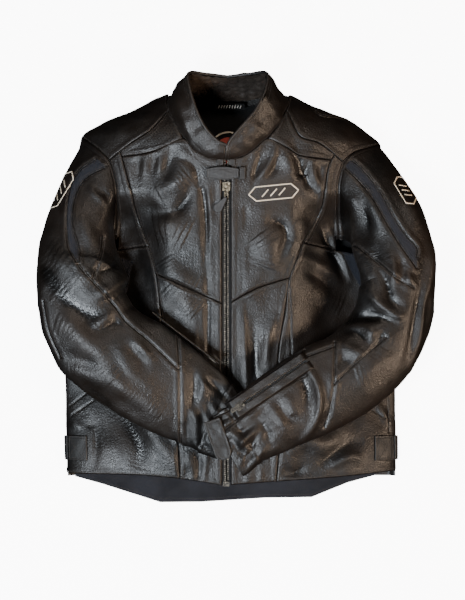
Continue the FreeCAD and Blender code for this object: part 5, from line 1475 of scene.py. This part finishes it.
# ------------------------------------------------------------------ badges and labels, all plain motifs
def motif(tree, name, centre, way, length, width, *nodes):
    """Cream outline of a long lozenge with three slanted bars, sewn on the leather."""
    way = np.array(way, float) / np.linalg.norm(way)
    across = np.array([-way[1], way[0]])
    piece = Piece(name, [CREAM])
    corners = [(-0.5, 0.0), (-0.36, 0.5), (0.36, 0.5), (0.5, 0.0), (0.36, -0.5), (-0.36, -0.5), (-0.5, 0.0)]
    bars = [[(k * 0.17 - 0.07, -0.24), (k * 0.17 + 0.07, 0.24)] for k in (-1, 0, 1)]
    for line in [corners] + bars:
        runs = [np.linspace(a, b, 14)[:-1] for a, b in zip(np.array(line), np.array(line[1:]))]
        plan = np.concatenate(runs + [[line[-1]]])
        plan = np.array(centre) + plan[:, :1] * length * way + plan[:, 1:] * width * across
        places, normals = cast(tree, plan)
        if len(places) > 2:
            piece.tube(places + normals * 0.25, 0.95, mark=0, up=normals, flat=0.55)
    add_piece(piece, "torso", "badge_print", *nodes)


motif(torso_tree, "chest_motif", (54, 138), (1.0, 0.10), 72, 20, "chest_badge")
motif(sleeve_trees["right"], "sleeve_motif_right", (-254, 143), (-0.50, -0.86), 62, 17, "sleeve_badges")
motif(sleeve_trees["left"], "sleeve_motif_left", (245, 142), (0.48, -0.88), 46, 20)

label = Strap("neck_label_cloth", 44.0, 9.0, 0.8, (NECK_X - 19, 268.0, 12.0), (1, 0, 0), (0, 1, 0),
              [INNER, GREY_PRINT], seed=51, wave=0.3)
for k in range(9):
    bar_u, bar_v = np.array([5.0 + k * 4.0, 6.6 + k * 4.0]), np.array([-2.4, 2.4])
    label.piece.tube(label.place(bar_u, bar_v, np.full(2, 0.9)), 0.75, mark=1)
label.make("torso", "label_print", "neck_label")

disc = Piece("round_label_print", [INNER, CREAM, RED_PRINT])
turns = np.linspace(0, 2 * math.pi, 96, endpoint=False)
centre = np.array([NECK_X + 1.0, 203.0, 6.2])
DISC_RINGS = (  # material, then radius and height of each circle
    (0, [(30.0, -0.8), (30.0, 0.2), (29.6, 0.4), (26.6, 0.4)]),
    (1, [(29.0, 0.4), (29.0, 0.62), (28.2, 0.78), (27.2, 0.78), (26.5, 0.62), (26.5, 0.4)]),
    (0, [(26.6, 0.4), (22.0, 0.42), (20.2, 0.4)]),
    (2, [(20.4, 0.4), (20.3, 0.7), (19.6, 0.85), (10.0, 0.85), (0.2, 0.85)]))
for mark, circles in DISC_RINGS:
    rows = [centre + np.stack([np.cos(turns) * r, np.sin(turns) * r, np.full(turns.size, z)], axis=-1)
            for r, z in circles]
    disc.grid(np.stack(rows), mark, around=True)
add_piece(disc, "torso", "label_print", "round_label")

# sealed inside the garment, seen only through the neck and the hem
paint("back_protector", INNER)
paint("shoulder_armour", RUBBER)

# ------------------------------------------------------------------ floor, light, camera
world = bpy.data.worlds.new("studio")
bpy.context.scene.world = world
world.use_nodes = True
sky = world.node_tree.nodes["Background"]
sky.inputs["Color"].default_value = (1.0, 0.93, 0.86, 1.0)
sky.inputs["Strength"].default_value = 0.018

floor_mesh = bpy.data.meshes.new("floor")
floor_half, floor_z = 6, -0.0004
floor_corners = [(x * floor_half, y * floor_half, floor_z) for x, y in ((-1, -1), (1, -1), (1, 1), (-1, 1))]
floor_mesh.from_pydata(floor_corners, [], [(0, 1, 2, 3)])
floor = bpy.data.objects.new("floor", floor_mesh)
bpy.context.scene.collection.objects.link(floor)
pale = Material("floor", Base_Color=(0.93, 0.93, 0.93, 1.0), Roughness=0.9, Specular_IOR_Level=0.1,
                Emission_Color=(1.0, 1.0, 1.0, 1.0), Emission_Strength=9.0)
floor_mesh.materials.append(pale.made)
# the floor shines so that it stays pale, and doesn't light the jacket
floor.visible_diffuse = False
floor.visible_glossy = False


def area(name, place, target, size, power, colour):
    lamp = bpy.data.lights.new(name, "AREA")
    lamp.energy, lamp.color, lamp.shape = power, colour, "RECTANGLE"
    lamp.size, lamp.size_y = size
    made = bpy.data.objects.new(name, lamp)
    made.location = place
    made.rotation_euler = (Vector(target) - Vector(place)).to_track_quat("-Z", "Y").to_euler()
    bpy.context.scene.collection.objects.link(made)


area("key_window", (-1.1, -0.9, 2.5), (0, 0, 0.05), (0.6, 0.9), 112, (0.84, 0.92, 1.0))
area("shoulder_fill", (0.25, 1.7, 2.1), (0, 0.15, 0.05), (0.5, 0.5), 17, (1.0, 0.86, 0.74))
area("warm_side", (1.9, -0.6, 1.9), (0, 0, 0.05), (0.6, 0.6), 58, (1.0, 0.76, 0.56))

camera = bpy.data.objects.new("camera", bpy.data.cameras.new("camera"))
bpy.context.scene.collection.objects.link(camera)
camera.location = (-0.0051, -0.0167, 3.0)
camera.data.sensor_width = 36.0
camera.data.lens = 18.0 / (0.435 / 2.94)
camera.data.clip_end = 20.0
bpy.context.scene.camera = camera
